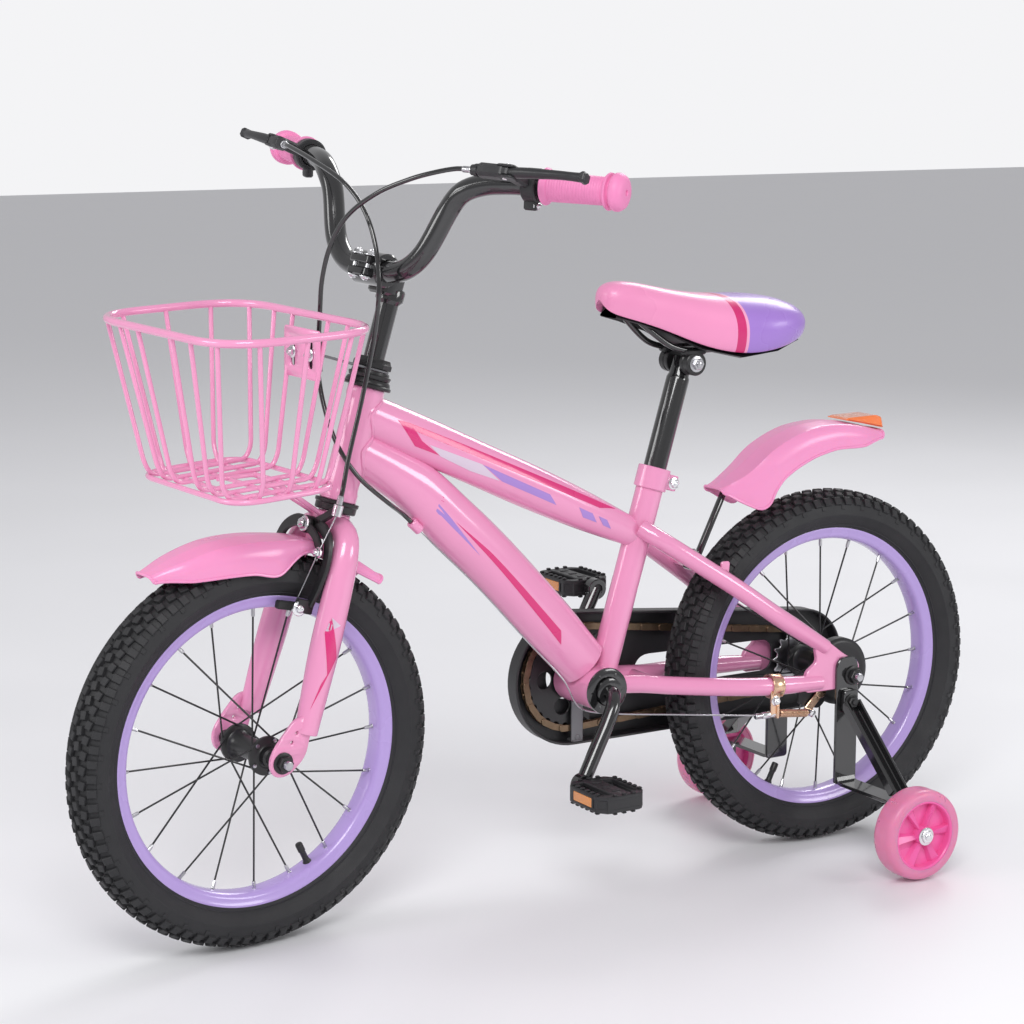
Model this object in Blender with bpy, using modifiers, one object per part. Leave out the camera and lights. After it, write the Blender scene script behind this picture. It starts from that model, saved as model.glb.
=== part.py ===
"""Child's 16-inch BMX bicycle with stabilisers, wire basket and plastic mudguards.

Metres, +Z up, +X forwards, +Y to the rider's left, origin on the floor under the middle.
Sizes are given in millimetres, with x measured from the rear axle, and turned into metres by at().
Steered pieces are modelled straight ahead; the steering and bar empties turn them.
"""
import math

import bmesh
import bpy
from mathutils import Matrix, Vector
from mathutils.geometry import interpolate_bezier

MM = 0.001
GAP = 0.3

# Overall layout
REAR_AXLE_X = -355.5
WHEELBASE = 711.0
AXLE_Z = 202.0
STEER_REST = 6.0
BAR_TURN = 5.0

# Head tube and steering
HEAD_ANGLE = 73.0
HEAD_POINT = (611.3, 0.0, 442.3)
HEAD_LOW, HEAD_HIGH = 3.0, 119.7
HEAD_R, HEAD_BORE = 18.0, 15.2
STEERER_R, STEERER_BORE = 12.7, 11.45
QUILL_R = 11.0
CROWN_LOW, CROWN_HIGH, CROWN_R = -38.0, -9.3, 17.0
STACK_HIGH = 150.0

# Wheels
TYRE_R, TYRE_HALF = 202.0, 27.5
RIM_R, RIM_INNER_R, RIM_HALF = 159.0, 146.0, 14.5
WHEEL_STEPS = 20
HEAD_STEPS = 12
TUBE_SIDES = 12
SPOKES = 20
SPOKE_R = 1.1
SPOKE_LEAD = math.radians(64)
FLANGE_Y, FLANGE_R = 27.0, 20.0
AXLE_R, AXLE_BORE = 4.7, 5.2

# Frame
BB = (309.0, 0.0, 217.3)
SHELL_R, SHELL_BORE, SHELL_HALF = 24.0, 20.0, 34.0
TOP_TUBE_R, TOP_TUBE_FLAT = 23.3, 0.84
DOWN_TUBE_R, DOWN_TUBE_FLAT = 30.0, 0.8
DOWN_TUBE_LINE = [(596, 0, 497), (578, 0, 487), (552, 0, 471.5), (520, 0, 450), (482, 0, 413.5),
                  (430, 0, 363.5), (370, 0, 299.5), (318, 0, 242)]
DOWN_TUBE_SWELL = [0.72, 0.8, 0.93, 1.0, 1.0, 1.0, 1.0, 0.93]
TOP_TUBE_LINE = [(583, 0, 532), (520, 0, 502.7), (300, 0, 399.8), (262, 0, 382), (240, 0, 371.7)]
TOP_TUBE_SWELL = [0.95, 1, 1, 0.88, 0.63]
SEAT_STAY_LINE = [(250, 12, 384), (238, 27, 374), (205, 38, 351.5), (150, 50, 314.5), (100, 58, 279),
                  (34, 58.4, 237)]
CHAIN_STAY_LINE = [(298, 14, 217.5), (260, 24.5, 216.5), (222, 33, 211.5), (165, 49, 206), (110, 58, 201.5),
                   (40, 58.4, 197.5)]
CABLE_STOP, STOP_DIR, STOP_HALF = (525.7, 8.0, 412.0), (-0.721, 0.0, -0.693), 7.0
SEAT_LOW, SEAT_HIGH = (295.2, 0.0, 217.3), (225.6, 0.0, 446.4)
SEAT_TUBE_R, SEAT_BORE = 15.0, 13.0
STAY_R = 10.0
BRIDGE = (172.0, 0.0, 335.0)
BRIDGE_R = 5.5
DROPOUT_IN, DROPOUT_OUT = 55.4, 61.4

# Saddle and post
POST_R, POST_TOP_R = 12.7, 11.0
POST_INSERT, POST_RISE, POST_THICK_RISE = 110.0, 124.0, 100.0
CLAMP_Z = 560.0

# Cranks, chain and guard
CRANK, CRANK_ANGLE, CRANK_R = 102.0, -58.0, 8.0
CHAIN_Y = -39.0
RING_PITCH_R, SPROCKET_PITCH_R = 56.7, 32.5
GUARD_FRONT_R, GUARD_REAR_R, GUARD_WALL = 74.0, 58.0, 2.4
GUARD_IN, GUARD_OUT = -30.0, -47.6
PEDAL_Y, PEDAL_LONG, PEDAL_WIDE, PEDAL_TALL = 118.0, 58.0, 74.0, 22.0

# Stabilisers
STAB_X, STAB_Z, STAB_R, STAB_WIDE, STAB_Y = 4.0, 51.5, 50.0, 30.0, 187.0

# Handlebar
BAR_R, GRIP_IN, GRIP_OUT, GRIP_Z, MOUNT_Y = 11.0, 187.0, 266.5, 773.0, 175.5
BAR_X, BAR_Z, BAR_LEAN, BAR_SWEEP, SWEEP_START = 569.5, 676.0, 0.26, 21.0, 109.0
BAR_RISE = [(0, 676), (28, 676), (46, 680), (61, 689.7), (73, 704.4), (92.5, 745), (106.5, 761), (127, 769.6),
            (151.7, 772.6), (170, 773), (258, 773)]
LEVER_PIVOT, LEVER_TIP = (559.8, 181.5, 787.1), (536.3, 265.2, 788.5)
LEVER_PIN_R, LEVER_SLOT = 2.0, 7.6

# Front caliper, on a bolt through the crown; lines are (side, up) places across the bolt
BOLT_T, ARM_REAR, ARM_FRONT, ARM_THICK = -27.0, 21.6, 26.9, 4.6
PAD_T, PAD_F, PAD_IN, PAD_OUT = -108.5, 35.5, 17.0, 26.0
ARM_BOW = [(0, -27), (18, -25.5), (36, -36), (43, -58), (40, -82), (33, -104)]

# Basket
RIM_WIRE, UPRIGHT_WIRE, FLOOR_WIRE, RIM_CORNER = 4.0, 2.4, 2.8, 62.0
BASKET_X, BASKET_Z, BASKET_HALF_X, BASKET_HALF_Y, BASKET_TILT = 729.8, 631.9, 87.4, 133.6, 1.7
FLOOR_BACK, FLOOR_FRONT, FLOOR_HALF_Y, FLOOR_BACK_Z, FLOOR_FRONT_Z = 668.0, 785.0, 95.0, 480.0, 474.0
UPRIGHTS_Y = (-0.84, -0.54, -0.26, 0.26, 0.54, 0.84)
UPRIGHTS_X = (-0.62, 0.0, 0.62)

# Rear band brake
BRAKE_ARM_PIVOT, BRAKE_ARM_END = (30.0, 47.0, 183.0), (50.0, 54.0, 163.0)
STAY_CLAMP, BARREL_END, BARREL_FRONT = (104.0, 57.8, 201.4), (104.0, 64.0, 171.5), 124.0
SPRING_R, SPRING_WIRE, SPRING_CURLS, CURL_POINTS = 3.6, 0.8, 5.75, 8

# Cables
CABLE_R, WIRE_R, CABLE_STEP = 2.4, 0.9, 24.0

# Saddle cushion sections from the nose back: x, half width, top, lower edge and underside heights
SADDLE_STATIONS = [
    (299.0, 11.0, 642.0, 623.0, 631.0),
    (287.0, 20.0, 651.0, 615.0, 630.0),
    (262.0, 26.0, 650.5, 608.0, 626.0),
    (225.0, 32.0, 642.0, 595.0, 616.0),
    (190.0, 45.5, 635.5, 578.0, 607.0),
    (148.0, 64.5, 631.5, 568.0, 601.5),
    (105.0, 70.0, 631.0, 573.0, 600.0),
    (72.0, 61.0, 624.5, 583.0, 599.5),
    (52.0, 36.0, 609.0, 591.0, 600.0),
]
RAIL_LINE = [(268, 8, 620.5), (256, 13, 608), (225, 20, 583), (205, 21, 575.5), (186, 21, 573.8), (150, 21, 575),
             (110, 22, 584), (92, 22, 591.5)]
RAIL_R = 3.4

HEAD_UP = Vector((-math.cos(math.radians(HEAD_ANGLE)), 0, math.sin(math.radians(HEAD_ANGLE))))
HEAD_FORWARD = Vector((math.sin(math.radians(HEAD_ANGLE)), 0, math.cos(math.radians(HEAD_ANGLE))))
SEAT_UP = (Vector(SEAT_HIGH) - Vector(SEAT_LOW)).normalized()
X, Y, Z = Vector((1, 0, 0)), Vector((0, 1, 0)), Vector((0, 0, 1))
FRONT_AXLE = (WHEELBASE, 0.0, AXLE_Z)
REAR_AXLE = (0.0, 0.0, AXLE_Z)

for old in list(bpy.data.objects):
    bpy.data.objects.remove(old)
PARTS = bpy.data.collections.new("kids_bmx_bike")
CUTTERS = bpy.data.collections.new("cutters")
for group in (PARTS, CUTTERS):
    bpy.context.scene.collection.children.link(group)


def material(name, colour, roughness, metallic=0.0):
    paint = bpy.data.materials.new(name)
    paint.use_nodes = True
    shader = paint.node_tree.nodes["Principled BSDF"]
    shader.inputs["Base Color"].default_value = (*colour, 1.0)
    shader.inputs["Roughness"].default_value = roughness
    shader.inputs["Metallic"].default_value = metallic
    paint.diffuse_color = (*colour, 1.0)
    return paint


PINK = material("pink_paint", (0.86, 0.32, 0.55), 0.25)
PINK_PLASTIC = material("pink_plastic", (0.85, 0.22, 0.5), 0.4)
PURPLE = material("purple_paint", (0.42, 0.27, 0.72), 0.3)
BLACK = material("black_paint", (0.015, 0.015, 0.016), 0.25)
BLACK_PLASTIC = material("black_plastic", (0.02, 0.02, 0.021), 0.5)
RUBBER = material("tyre_rubber", (0.02, 0.02, 0.02), 0.8)
STEEL = material("bright_steel", (0.75, 0.75, 0.76), 0.25, 1.0)
DARK_STEEL = material("chain_steel", (0.22, 0.18, 0.13), 0.4, 1.0)
COPPER = material("passivated_steel", (0.72, 0.5, 0.36), 0.35, 1.0)
SADDLE = material("saddle_vinyl", (0.88, 0.3, 0.52), 0.45)
RED = material("reflector_red", (0.6, 0.02, 0.03), 0.2)


def at(x, y, z):
    """A place given in mm from the rear axle, in metres."""
    return Vector(((x + REAR_AXLE_X) * MM, y * MM, z * MM))


def on_head(up, forward=0.0, side=0.0):
    """A place in mm measured along the head axis, ahead of it and to the left of it."""
    return Vector(HEAD_POINT) + HEAD_UP * up + HEAD_FORWARD * forward + Y * side


def frame_at(centre, axis, across):
    """Local Z along axis and local X along across, at a place in mm."""
    up = Vector(axis).normalized()
    side = Vector(across) - up * up.dot(Vector(across))
    side.normalize()
    matrix = Matrix((side, up.cross(side), up)).transposed().to_4x4()
    matrix.translation = at(*centre)
    return matrix


def side_frame(y):
    """Local X forwards, local Y up, drawn in mm from the rear axle and the floor."""
    matrix = Matrix((X, Z, -Y)).transposed().to_4x4()
    matrix.translation = at(0, y, 0)
    return matrix


def baked(piece, matrix=None):
    """The evaluated shape of a piece as a plain mesh object in world space."""
    bpy.context.view_layer.update()
    graph = bpy.context.evaluated_depsgraph_get()
    mesh = bpy.data.meshes.new_from_object(piece.evaluated_get(graph))
    mesh.transform(matrix or Matrix())
    form = bmesh.new()
    form.from_mesh(mesh)
    bmesh.ops.remove_doubles(form, verts=form.verts, dist=0.000002)
    bmesh.ops.recalc_face_normals(form, faces=form.faces)
    form.to_mesh(mesh)
    form.free()
    mesh.materials.clear()
    bpy.data.objects.remove(piece)
    return placed("piece", mesh)


def placed(name, data):
    piece = bpy.data.objects.new(name, data)
    PARTS.objects.link(piece)
    return piece


def from_bmesh(form, matrix):
    mesh = bpy.data.meshes.new("piece")
    bmesh.ops.transform(form, matrix=matrix, verts=form.verts)
    bmesh.ops.recalc_face_normals(form, faces=form.faces)
    form.to_mesh(mesh)
    form.free()
    return placed("piece", mesh)


def rod(start, end, radius, sides=12, end_radius=None):
    """A round bar or cone between two places in mm."""
    low, high = Vector(start), Vector(end)
    axis = high - low
    across = Z if abs(axis.normalized().z) < 0.9 else X
    form = bmesh.new()
    bmesh.ops.create_cone(form, cap_ends=True, segments=sides, radius1=radius * MM,
                          radius2=(end_radius or radius) * MM, depth=axis.length * MM)
    return from_bmesh(form, frame_at((low + high) / 2, axis, across))


def box(centre, size, axis=Z, across=X):
    """A block of size (along across, sideways, along axis)."""
    form = bmesh.new()
    bmesh.ops.create_cube(form, size=1.0)
    bmesh.ops.scale(form, vec=Vector(size) * MM, verts=form.verts)
    return from_bmesh(form, frame_at(centre, axis, across))


def tube(points, radius, sides=12, swell=None, cyclic=False):
    """A round tube along points in mm; swell multiplies its radius point by point."""
    curve = bpy.data.curves.new("tube", "CURVE")
    curve.dimensions = "3D"
    curve.bevel_depth = radius * MM
    curve.bevel_resolution = sides // 2 - 2
    curve.use_fill_caps = not cyclic
    spline = curve.splines.new("POLY")
    spline.points.add(len(points) - 1)
    spline.use_cyclic_u = cyclic
    for point, place, scale in zip(spline.points, points, swell or [1.0] * len(points)):
        point.co = (*at(*place), 1.0)
        point.radius = scale
    return baked(placed("tube", curve))


def turned(profile, frame, steps=24, closed=False):
    """A turned piece from (radius, height) pairs in mm about the frame's Z."""
    mesh = bpy.data.meshes.new("profile")
    last = len(profile) - 1
    edges = [(i, i + 1) for i in range(last)] + ([(last, 0)] if closed else [])
    mesh.from_pydata([(r * MM, 0, h * MM) for r, h in profile], edges, [])
    piece = placed("turned", mesh)
    screw = piece.modifiers.new("screw", "SCREW")
    screw.axis = "Z"
    screw.steps = steps
    screw.render_steps = steps
    screw.use_merge_vertices = True
    screw.merge_threshold = 0.00001
    return baked(piece, frame)


def plate(outlines, thickness, frame):
    """A flat plate from outlines in mm; the outlines after the first are its holes."""
    curve = bpy.data.curves.new("plate", "CURVE")
    curve.dimensions = "2D"
    curve.fill_mode = "BOTH"
    curve.extrude = thickness * MM / 2
    for outline in outlines:
        spline = curve.splines.new("POLY")
        spline.points.add(len(outline) - 1)
        spline.use_cyclic_u = True
        for point, (x, y) in zip(spline.points, outline):
            point.co = (x * MM, y * MM, 0, 1.0)
    return baked(placed("plate", curve), frame)


def sheet(columns, rows, shape, thickness):
    """A shell: a flat grid whose points shape(u, v) moves to places in mm, made solid."""
    form = bmesh.new()
    bmesh.ops.create_grid(form, x_segments=columns, y_segments=rows, size=0.5)
    for vert in form.verts:
        vert.co = at(*shape(vert.co.x + 0.5, vert.co.y + 0.5))
    piece = from_bmesh(form, Matrix())
    solid = piece.modifiers.new("solid", "SOLIDIFY")
    solid.thickness = thickness * MM
    solid.offset = 0.0
    return baked(piece)


def boolean(piece, others, operation):
    for other in others:
        step = piece.modifiers.new(operation.lower(), "BOOLEAN")
        step.operation = operation
        step.object = other
        other.hide_render = True
        other.display_type = "WIRE"
        PARTS.objects.unlink(other)
        CUTTERS.objects.link(other)
    result = baked(piece)
    for other in others:
        bpy.data.objects.remove(other)
    return result


def simplified(piece):
    """Joins the faces that lie in one plane."""
    form = bmesh.new()
    form.from_mesh(piece.data)
    bmesh.ops.dissolve_limit(form, angle_limit=math.radians(0.5), verts=form.verts, edges=form.edges)
    form.to_mesh(piece.data)
    form.free()
    return piece


def fused(*pieces):
    return boolean(pieces[0], pieces[1:], "UNION")


def cut(piece, *cutters):
    return boolean(piece, cutters, "DIFFERENCE")


def rounded(corners, reach, steps=3):
    """An outline whose corners are cut back by reach mm and joined by a curve."""
    outline = []
    for before, corner, after in zip([corners[-1], *corners], corners, [*corners[1:], corners[0]]):
        corner = Vector(corner)
        to_before, to_after = Vector(before) - corner, Vector(after) - corner
        start = corner + to_before.normalized() * min(reach, to_before.length / 2)
        end = corner + to_after.normalized() * min(reach, to_after.length / 2)
        for i in range(steps + 1):
            t = i / steps
            outline.append(start * (1 - t) ** 2 + corner * 2 * t * (1 - t) + end * t * t)
    return [(p.x, p.y) for p in outline]


def circle(centre, radius, steps=24):
    turns = [2 * math.pi * i / steps for i in range(steps)]
    return [(centre[0] + radius * math.cos(a), centre[1] + radius * math.sin(a)) for a in turns]


def belt(front_r, rear_r, steps=11):
    """The outline of a belt round the bottom bracket and the rear axle."""
    front, rear = Vector((BB[0], BB[2])), Vector((0, AXLE_Z))
    run = front - rear
    base = math.atan2(run.y, run.x)
    reach = math.acos((rear_r - front_r) / run.length)
    outline = []
    for centre, radius, start, sweep in ((front, front_r, base - reach, 2 * reach),
                                         (rear, rear_r, base + reach, 2 * math.pi - 2 * reach)):
        for i in range(steps + 1):
            turn = start + sweep * i / steps
            outline.append((centre.x + radius * math.cos(turn), centre.y + radius * math.sin(turn)))
    return outline


def smooth_route(points, step):
    """Points about step mm apart on one smooth curve through the route's own points."""
    knots = [Vector(p) for p in points]
    ends = [2 * knots[0] - knots[1], *knots, 2 * knots[-1] - knots[-2]]
    slopes = [(c - a) / ((c - b).length + (b - a).length) for a, b, c in zip(ends, ends[1:], ends[2:])]
    route = [knots[0]]
    for a, b, leave, arrive in zip(knots, knots[1:], slopes, slopes[1:]):
        reach = (b - a).length
        count = max(1, round(reach / step))
        run = interpolate_bezier(a, a + leave * reach / 3, b - arrive * reach / 3, b, count + 1)
        route += run[1:]
    return route


class Pivot:
    """An empty on a joint's axis, kept with its place before any turn."""

    def __init__(self, name, frame, parent=None, turn=0.0):
        self.home = frame
        self.empty = bpy.data.objects.new(name, None)
        self.empty.empty_display_size = 0.03
        self.empty.hide_render = True
        PARTS.objects.link(self.empty)
        if parent:
            self.empty.parent = parent.empty
            self.empty.matrix_parent_inverse = parent.home.inverted()
        self.empty.matrix_basis = frame @ Matrix.Rotation(math.radians(turn), 4, "Z")

    def hold(self, piece):
        piece.parent = self.empty
        piece.matrix_parent_inverse = self.home.inverted()


def part(name, piece, paint, pivot=None, sharp=35):
    """Names a finished piece, paints it, shades it and hangs it on its pivot."""
    piece.name = name
    piece.data.name = name
    piece.data.materials.append(paint)
    piece.data.shade_smooth()
    piece.data.set_sharp_from_angle(angle=math.radians(sharp))
    if pivot:
        pivot.hold(piece)
    return piece


def mirrored(points, side):
    return [(p[0], p[1] * side, p[2]) for p in points]


# Pivots
def build_pivots():
    def across(name, place, parent=None, axis=Y):
        return Pivot(name, frame_at(place, axis, X), parent)

    pivots = {}
    head = frame_at(HEAD_POINT, HEAD_UP, HEAD_FORWARD)
    pivots["steering"] = Pivot("steering_pivot", head, None, STEER_REST)
    pivots["bar"] = Pivot("bar_pivot", head, pivots["steering"], BAR_TURN)
    pivots["front_wheel"] = across("front_wheel_pivot", FRONT_AXLE, pivots["steering"])
    for side, word in ((1, "left"), (-1, "right")):
        pivots["caliper_" + word] = across("caliper_pivot_" + word, on_head(BOLT_T), pivots["steering"],
                                           HEAD_FORWARD * -side)
    pivots["rear_wheel"] = across("rear_wheel_pivot", REAR_AXLE)
    pivots["crank"] = across("crank_pivot", BB)
    pivots["brake_arm"] = across("rear_brake_arm_pivot", BRAKE_ARM_PIVOT, None, -Y)
    pivots["post"] = Pivot("seatpost_pivot", frame_at(SEAT_HIGH, SEAT_UP, X))
    pivots["saddle"] = across("saddle_pivot", saddle_centre(), pivots["post"])
    for side, word in ((1, "left"), (-1, "right")):
        pivots["pedal_" + word] = across("pedal_pivot_" + word, crank_end(side), pivots["crank"])
        pivots["stabiliser_" + word] = across("stabiliser_pivot_" + word, (STAB_X, side * STAB_Y, STAB_Z))
        pivot, axis = lever_axis(side)
        pivots["lever_" + word] = Pivot("lever_pivot_" + word, frame_at(pivot, axis, X), pivots["bar"])
    return pivots


def saddle_centre():
    return Vector(SEAT_HIGH) + SEAT_UP * ((CLAMP_Z - SEAT_HIGH[2]) / SEAT_UP.z)


def crank_dir(side):
    turn = math.radians(CRANK_ANGLE + (0 if side > 0 else 180))
    return Vector((math.cos(turn), 0, math.sin(turn)))


def crank_end(side):
    return Vector(BB) + crank_dir(side) * CRANK + Y * side * 72


def bar_direction(side):
    """The way the bar's end runs, outwards."""
    return (bar_point(side * 200, GRIP_Z) - bar_point(side * 180, GRIP_Z)).normalized()


def lever_axis(side):
    """The lever's pivot and its axis, about which a positive turn pulls it to the bar."""
    pivot, tip = (Vector((p[0], p[1] * side, p[2])) for p in (LEVER_PIVOT, LEVER_TIP))
    pull = Vector((-27, 0, -11))
    return pivot, (tip - pivot).cross(pull).normalized()


def bar_point(y, z):
    """A point on the handlebar's centreline, from its sideways place and its height."""
    sweep = max(abs(y) - SWEEP_START, 0) * math.tan(math.radians(BAR_SWEEP))
    return Vector((BAR_X - BAR_LEAN * (z - BAR_Z) - sweep, y, z))


# Frame
def head_tube():
    frame = frame_at(on_head(0), HEAD_UP, HEAD_FORWARD)
    low, high, r, bore = HEAD_LOW, HEAD_HIGH, HEAD_R, HEAD_BORE
    return turned([(r + 1, low), (r + 1, low + 9), (r, low + 12), (r, high - 12), (r + 1, high - 9),
                   (r + 1, high), (bore, high), (bore, low)], frame, HEAD_STEPS, closed=True)


def flat_tube(line, radius, swell, flat):
    """A wide pressed tube, flattened sideways."""
    piece = tube(line, radius, 12, swell)
    piece.data.transform(Matrix.Scale(flat, 4, Y))
    return piece


def seat_stay(side):
    return tube(smooth_route(mirrored(SEAT_STAY_LINE, side), 60), STAY_R, 8)


def chain_stay(side):
    return tube(mirrored(CHAIN_STAY_LINE, side), STAY_R, 8)


def dropout(side):
    outline = rounded([(-13, 187), (-13, 215), (8, 226), (36, 247), (50, 240), (46, 222), (62, 211),
                       (62, 188)], 4, 1)
    middle = (DROPOUT_IN + DROPOUT_OUT) / 2
    return plate([outline], DROPOUT_OUT - DROPOUT_IN, side_frame(side * middle))


def build_frame():
    shell = rod((BB[0], -SHELL_HALF, BB[2]), (BB[0], SHELL_HALF, BB[2]), SHELL_R, TUBE_SIDES)
    seat_tube = rod(SEAT_LOW, SEAT_HIGH, SEAT_TUBE_R, TUBE_SIDES)
    top_tube = flat_tube(TOP_TUBE_LINE, TOP_TUBE_R, TOP_TUBE_SWELL, TOP_TUBE_FLAT)
    down_tube = flat_tube(DOWN_TUBE_LINE, DOWN_TUBE_R, DOWN_TUBE_SWELL, DOWN_TUBE_FLAT)
    stays = [stay(side) for side in (1, -1) for stay in (seat_stay, chain_stay, dropout)]
    bridges = [rod((238, -29, 213), (238, 29, 213), 8, 8),
               rod((BRIDGE[0], -44, BRIDGE[2]), (BRIDGE[0], 44, BRIDGE[2]), BRIDGE_R, 8)]
    stop, run = Vector(CABLE_STOP), Vector(STOP_DIR) * STOP_HALF
    body = fused(down_tube, top_tube, seat_tube, shell, *stays, *bridges, rod(stop - run, stop + run, 5.6, 8))
    body = fused(head_tube(), body)
    bores = [rod(on_head(HEAD_LOW - 20), on_head(HEAD_HIGH + 20), HEAD_BORE, HEAD_STEPS),
             rod((BB[0], -60, BB[2]), (BB[0], 60, BB[2]), SHELL_BORE, TUBE_SIDES),
             rod(Vector(SEAT_HIGH) - SEAT_UP * 200, Vector(SEAT_HIGH) + SEAT_UP * 10, SEAT_BORE, TUBE_SIDES),
             rod((0, -70, AXLE_Z), (0, 70, AXLE_Z), AXLE_R + 0.4, 8)]
    return simplified(cut(body, *bores))


def build_frame_parts():
    head = frame_at(on_head(0), HEAD_UP, HEAD_FORWARD)
    part("frame", build_frame(), PINK, None, 50)
    low, high, fit = HEAD_LOW, HEAD_HIGH, HEAD_BORE - GAP
    cup = [(fit, high - 7), (fit, high + GAP), (24.5, high + GAP), (22, high + 9), (13.5, high + 9),
           (13.5, high - 7)]
    part("headset_upper_cup", turned(cup, head, HEAD_STEPS, True), BLACK)
    cup = [(fit, low + 7), (fit, low - GAP), (22.5, low - GAP), (20, low - 11.7), (13.5, low - 11.7),
           (13.5, low + 7)]
    part("headset_lower_cup", turned(cup, head, HEAD_STEPS, True), BLACK)
    for side, word, wide in ((1, "left", 38.0), (-1, "right", 36.9)):
        cup = [(SHELL_BORE - GAP, 26), (SHELL_BORE - GAP, SHELL_HALF + GAP), (22, SHELL_HALF + GAP), (22, wide),
               (CRANK_R + 0.6, wide), (CRANK_R + 0.6, 26)]
        part("bb_cup_" + word, turned(cup, frame_at(BB, Y * side, Z), TUBE_SIDES, True), BLACK)
    part("seat_clamp", build_seat_clamp(), PINK)


def build_seat_clamp():
    middle = Vector(SEAT_HIGH) - SEAT_UP * 11
    ring = rod(middle - SEAT_UP * 12, middle + SEAT_UP * 12, 18, TUBE_SIDES)
    rear = SEAT_UP.cross(Y)
    ears = box(middle + rear * 21, (16, 16, 18), SEAT_UP, rear)
    bolt = rod(middle + rear * 24 - Y * 13, middle + rear * 24 + Y * 13, 4, 8)
    nut = rod(middle + rear * 24 - Y * 13, middle + rear * 24 - Y * 8, 6, 6)
    body = fused(ring, ears, bolt, nut)
    return cut(body, rod(middle - SEAT_UP * 30, middle + SEAT_UP * 30, SEAT_TUBE_R + GAP, TUBE_SIDES))


# Steering
def build_fork():
    steerer = rod(on_head(-20), on_head(STACK_HIGH), STEERER_R, HEAD_STEPS)
    crown = rod(on_head(CROWN_LOW), on_head(CROWN_HIGH), CROWN_R, TUBE_SIDES)
    legs = [fork_leg(side) for side in (1, -1)]
    ends = [fork_end(side) for side in (1, -1)]
    body = fused(steerer, crown, *legs, *ends)
    bore = rod(on_head(40), on_head(STACK_HIGH + 10), STEERER_BORE, 16)
    bolt = rod(on_head(BOLT_T, -60), on_head(BOLT_T, 60), 3.3, 12)
    axle = rod((WHEELBASE, -80, AXLE_Z), (WHEELBASE, 80, AXLE_Z), AXLE_R + 0.4, 8)
    return simplified(cut(body, bore, bolt, axle))


def fork_leg(side):
    """A tapered blade, drawn wide and then narrowed sideways."""
    line = [(-24, 1, 5, 13), (-25, 2, 24, 13.5), (-33, 3, 37, 15), (-50, 4, 43.5, 16), (-82, 4, 45.5, 16),
            (-155, 4, 49, 14.3), (-228, 3.4, 52.5, 12.5)]
    places = [on_head(t, f, side * y / 0.8) for t, f, y, r in line]
    piece = tube(places, 1.0, 8, [r for t, f, y, r in line])
    piece.data.transform(Matrix.Scale(0.8, 4, Y))
    return piece


def fork_end(side):
    outline = rounded([(674, 244), (694, 246), (716, 222), (726, 206), (722, 188), (704, 187), (684, 204)], 7, 1)
    return plate([outline], 5.0, side_frame(side * 55.5))


def build_stem():
    shaft = rod(on_head(60), on_head(222), QUILL_R, 16)
    centre = Vector((BAR_X, 0, BAR_Z))
    lift, ahead = (centre - Vector(HEAD_POINT)).dot(HEAD_UP), (centre - Vector(HEAD_POINT)).dot(HEAD_FORWARD)
    collar = rod(on_head(208), on_head(222), 14.5, 12)
    neck = box(on_head(224, 9), (30, 27, 21), HEAD_UP, HEAD_FORWARD)
    ring = rod(centre - Y * 21, centre + Y * 21, 17, 12)
    lip = box(on_head(lift, ahead + 15), (14, 30, 20), HEAD_UP, HEAD_FORWARD)
    cap = rod(on_head(232), on_head(239), 6, 6)
    body = fused(shaft, collar, neck, ring, lip, cap)
    return cut(body, rod(centre - Y * 40, centre + Y * 40, BAR_R + 0.6, 16))


def build_handlebar():
    half = [bar_point(y, z) for y, z in BAR_RISE]
    points = [Vector((p.x, -p.y, p.z)) for p in reversed(half[1:])] + half
    return tube(points, BAR_R, 8)


def build_grip(side):
    inner, outer = bar_point(side * GRIP_IN, GRIP_Z), bar_point(side * GRIP_OUT, GRIP_Z)
    long = (outer - inner).length
    bore = BAR_R + 0.8
    profile = [(bore, 0), (18, 0), (18, 3), (14.3, 6), (13.6, long - 15), (18, long - 13), (18, long - 4.5),
               (14, long), (0, long), (0, long - 8.5), (bore, long - 8.5)]
    return turned(profile, frame_at(inner, outer - inner, Z), 12, closed=True)


def build_lever_mount(side):
    """A ring on the bar with a forked arm ahead of it for the lever, and the cable's barrel."""
    centre = bar_point(side * MOUNT_Y, GRIP_Z)
    along = bar_direction(side)
    pivot, axis = lever_axis(side)
    reach = (pivot - centre).length
    ring = rod(centre - along * 7.5, centre + along * 7.5, 16.5, 12)
    neck = box(centre.lerp(pivot, 0.5), (reach - 4, 13, 13), axis, pivot - centre)
    body = box(pivot - along * 11, (36, 15, 13), axis, along)
    barrel = rod(pivot - along * 24, pivot - along * 38, 4.2, 8)
    lug = box(centre + Vector((2, 0, -17)), (16, 10, 12))
    mount = fused(ring, neck, body, barrel, lug)
    slot = box(pivot + along * 3.5, (23, 20, LEVER_SLOT), axis, along)
    mount = cut(mount, rod(centre - along * 30, centre + along * 30, BAR_R + 0.6, 16), slot)
    return fused(mount, rod(pivot - axis * 5.5, pivot + axis * 5.5, LEVER_PIN_R, 8))


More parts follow.
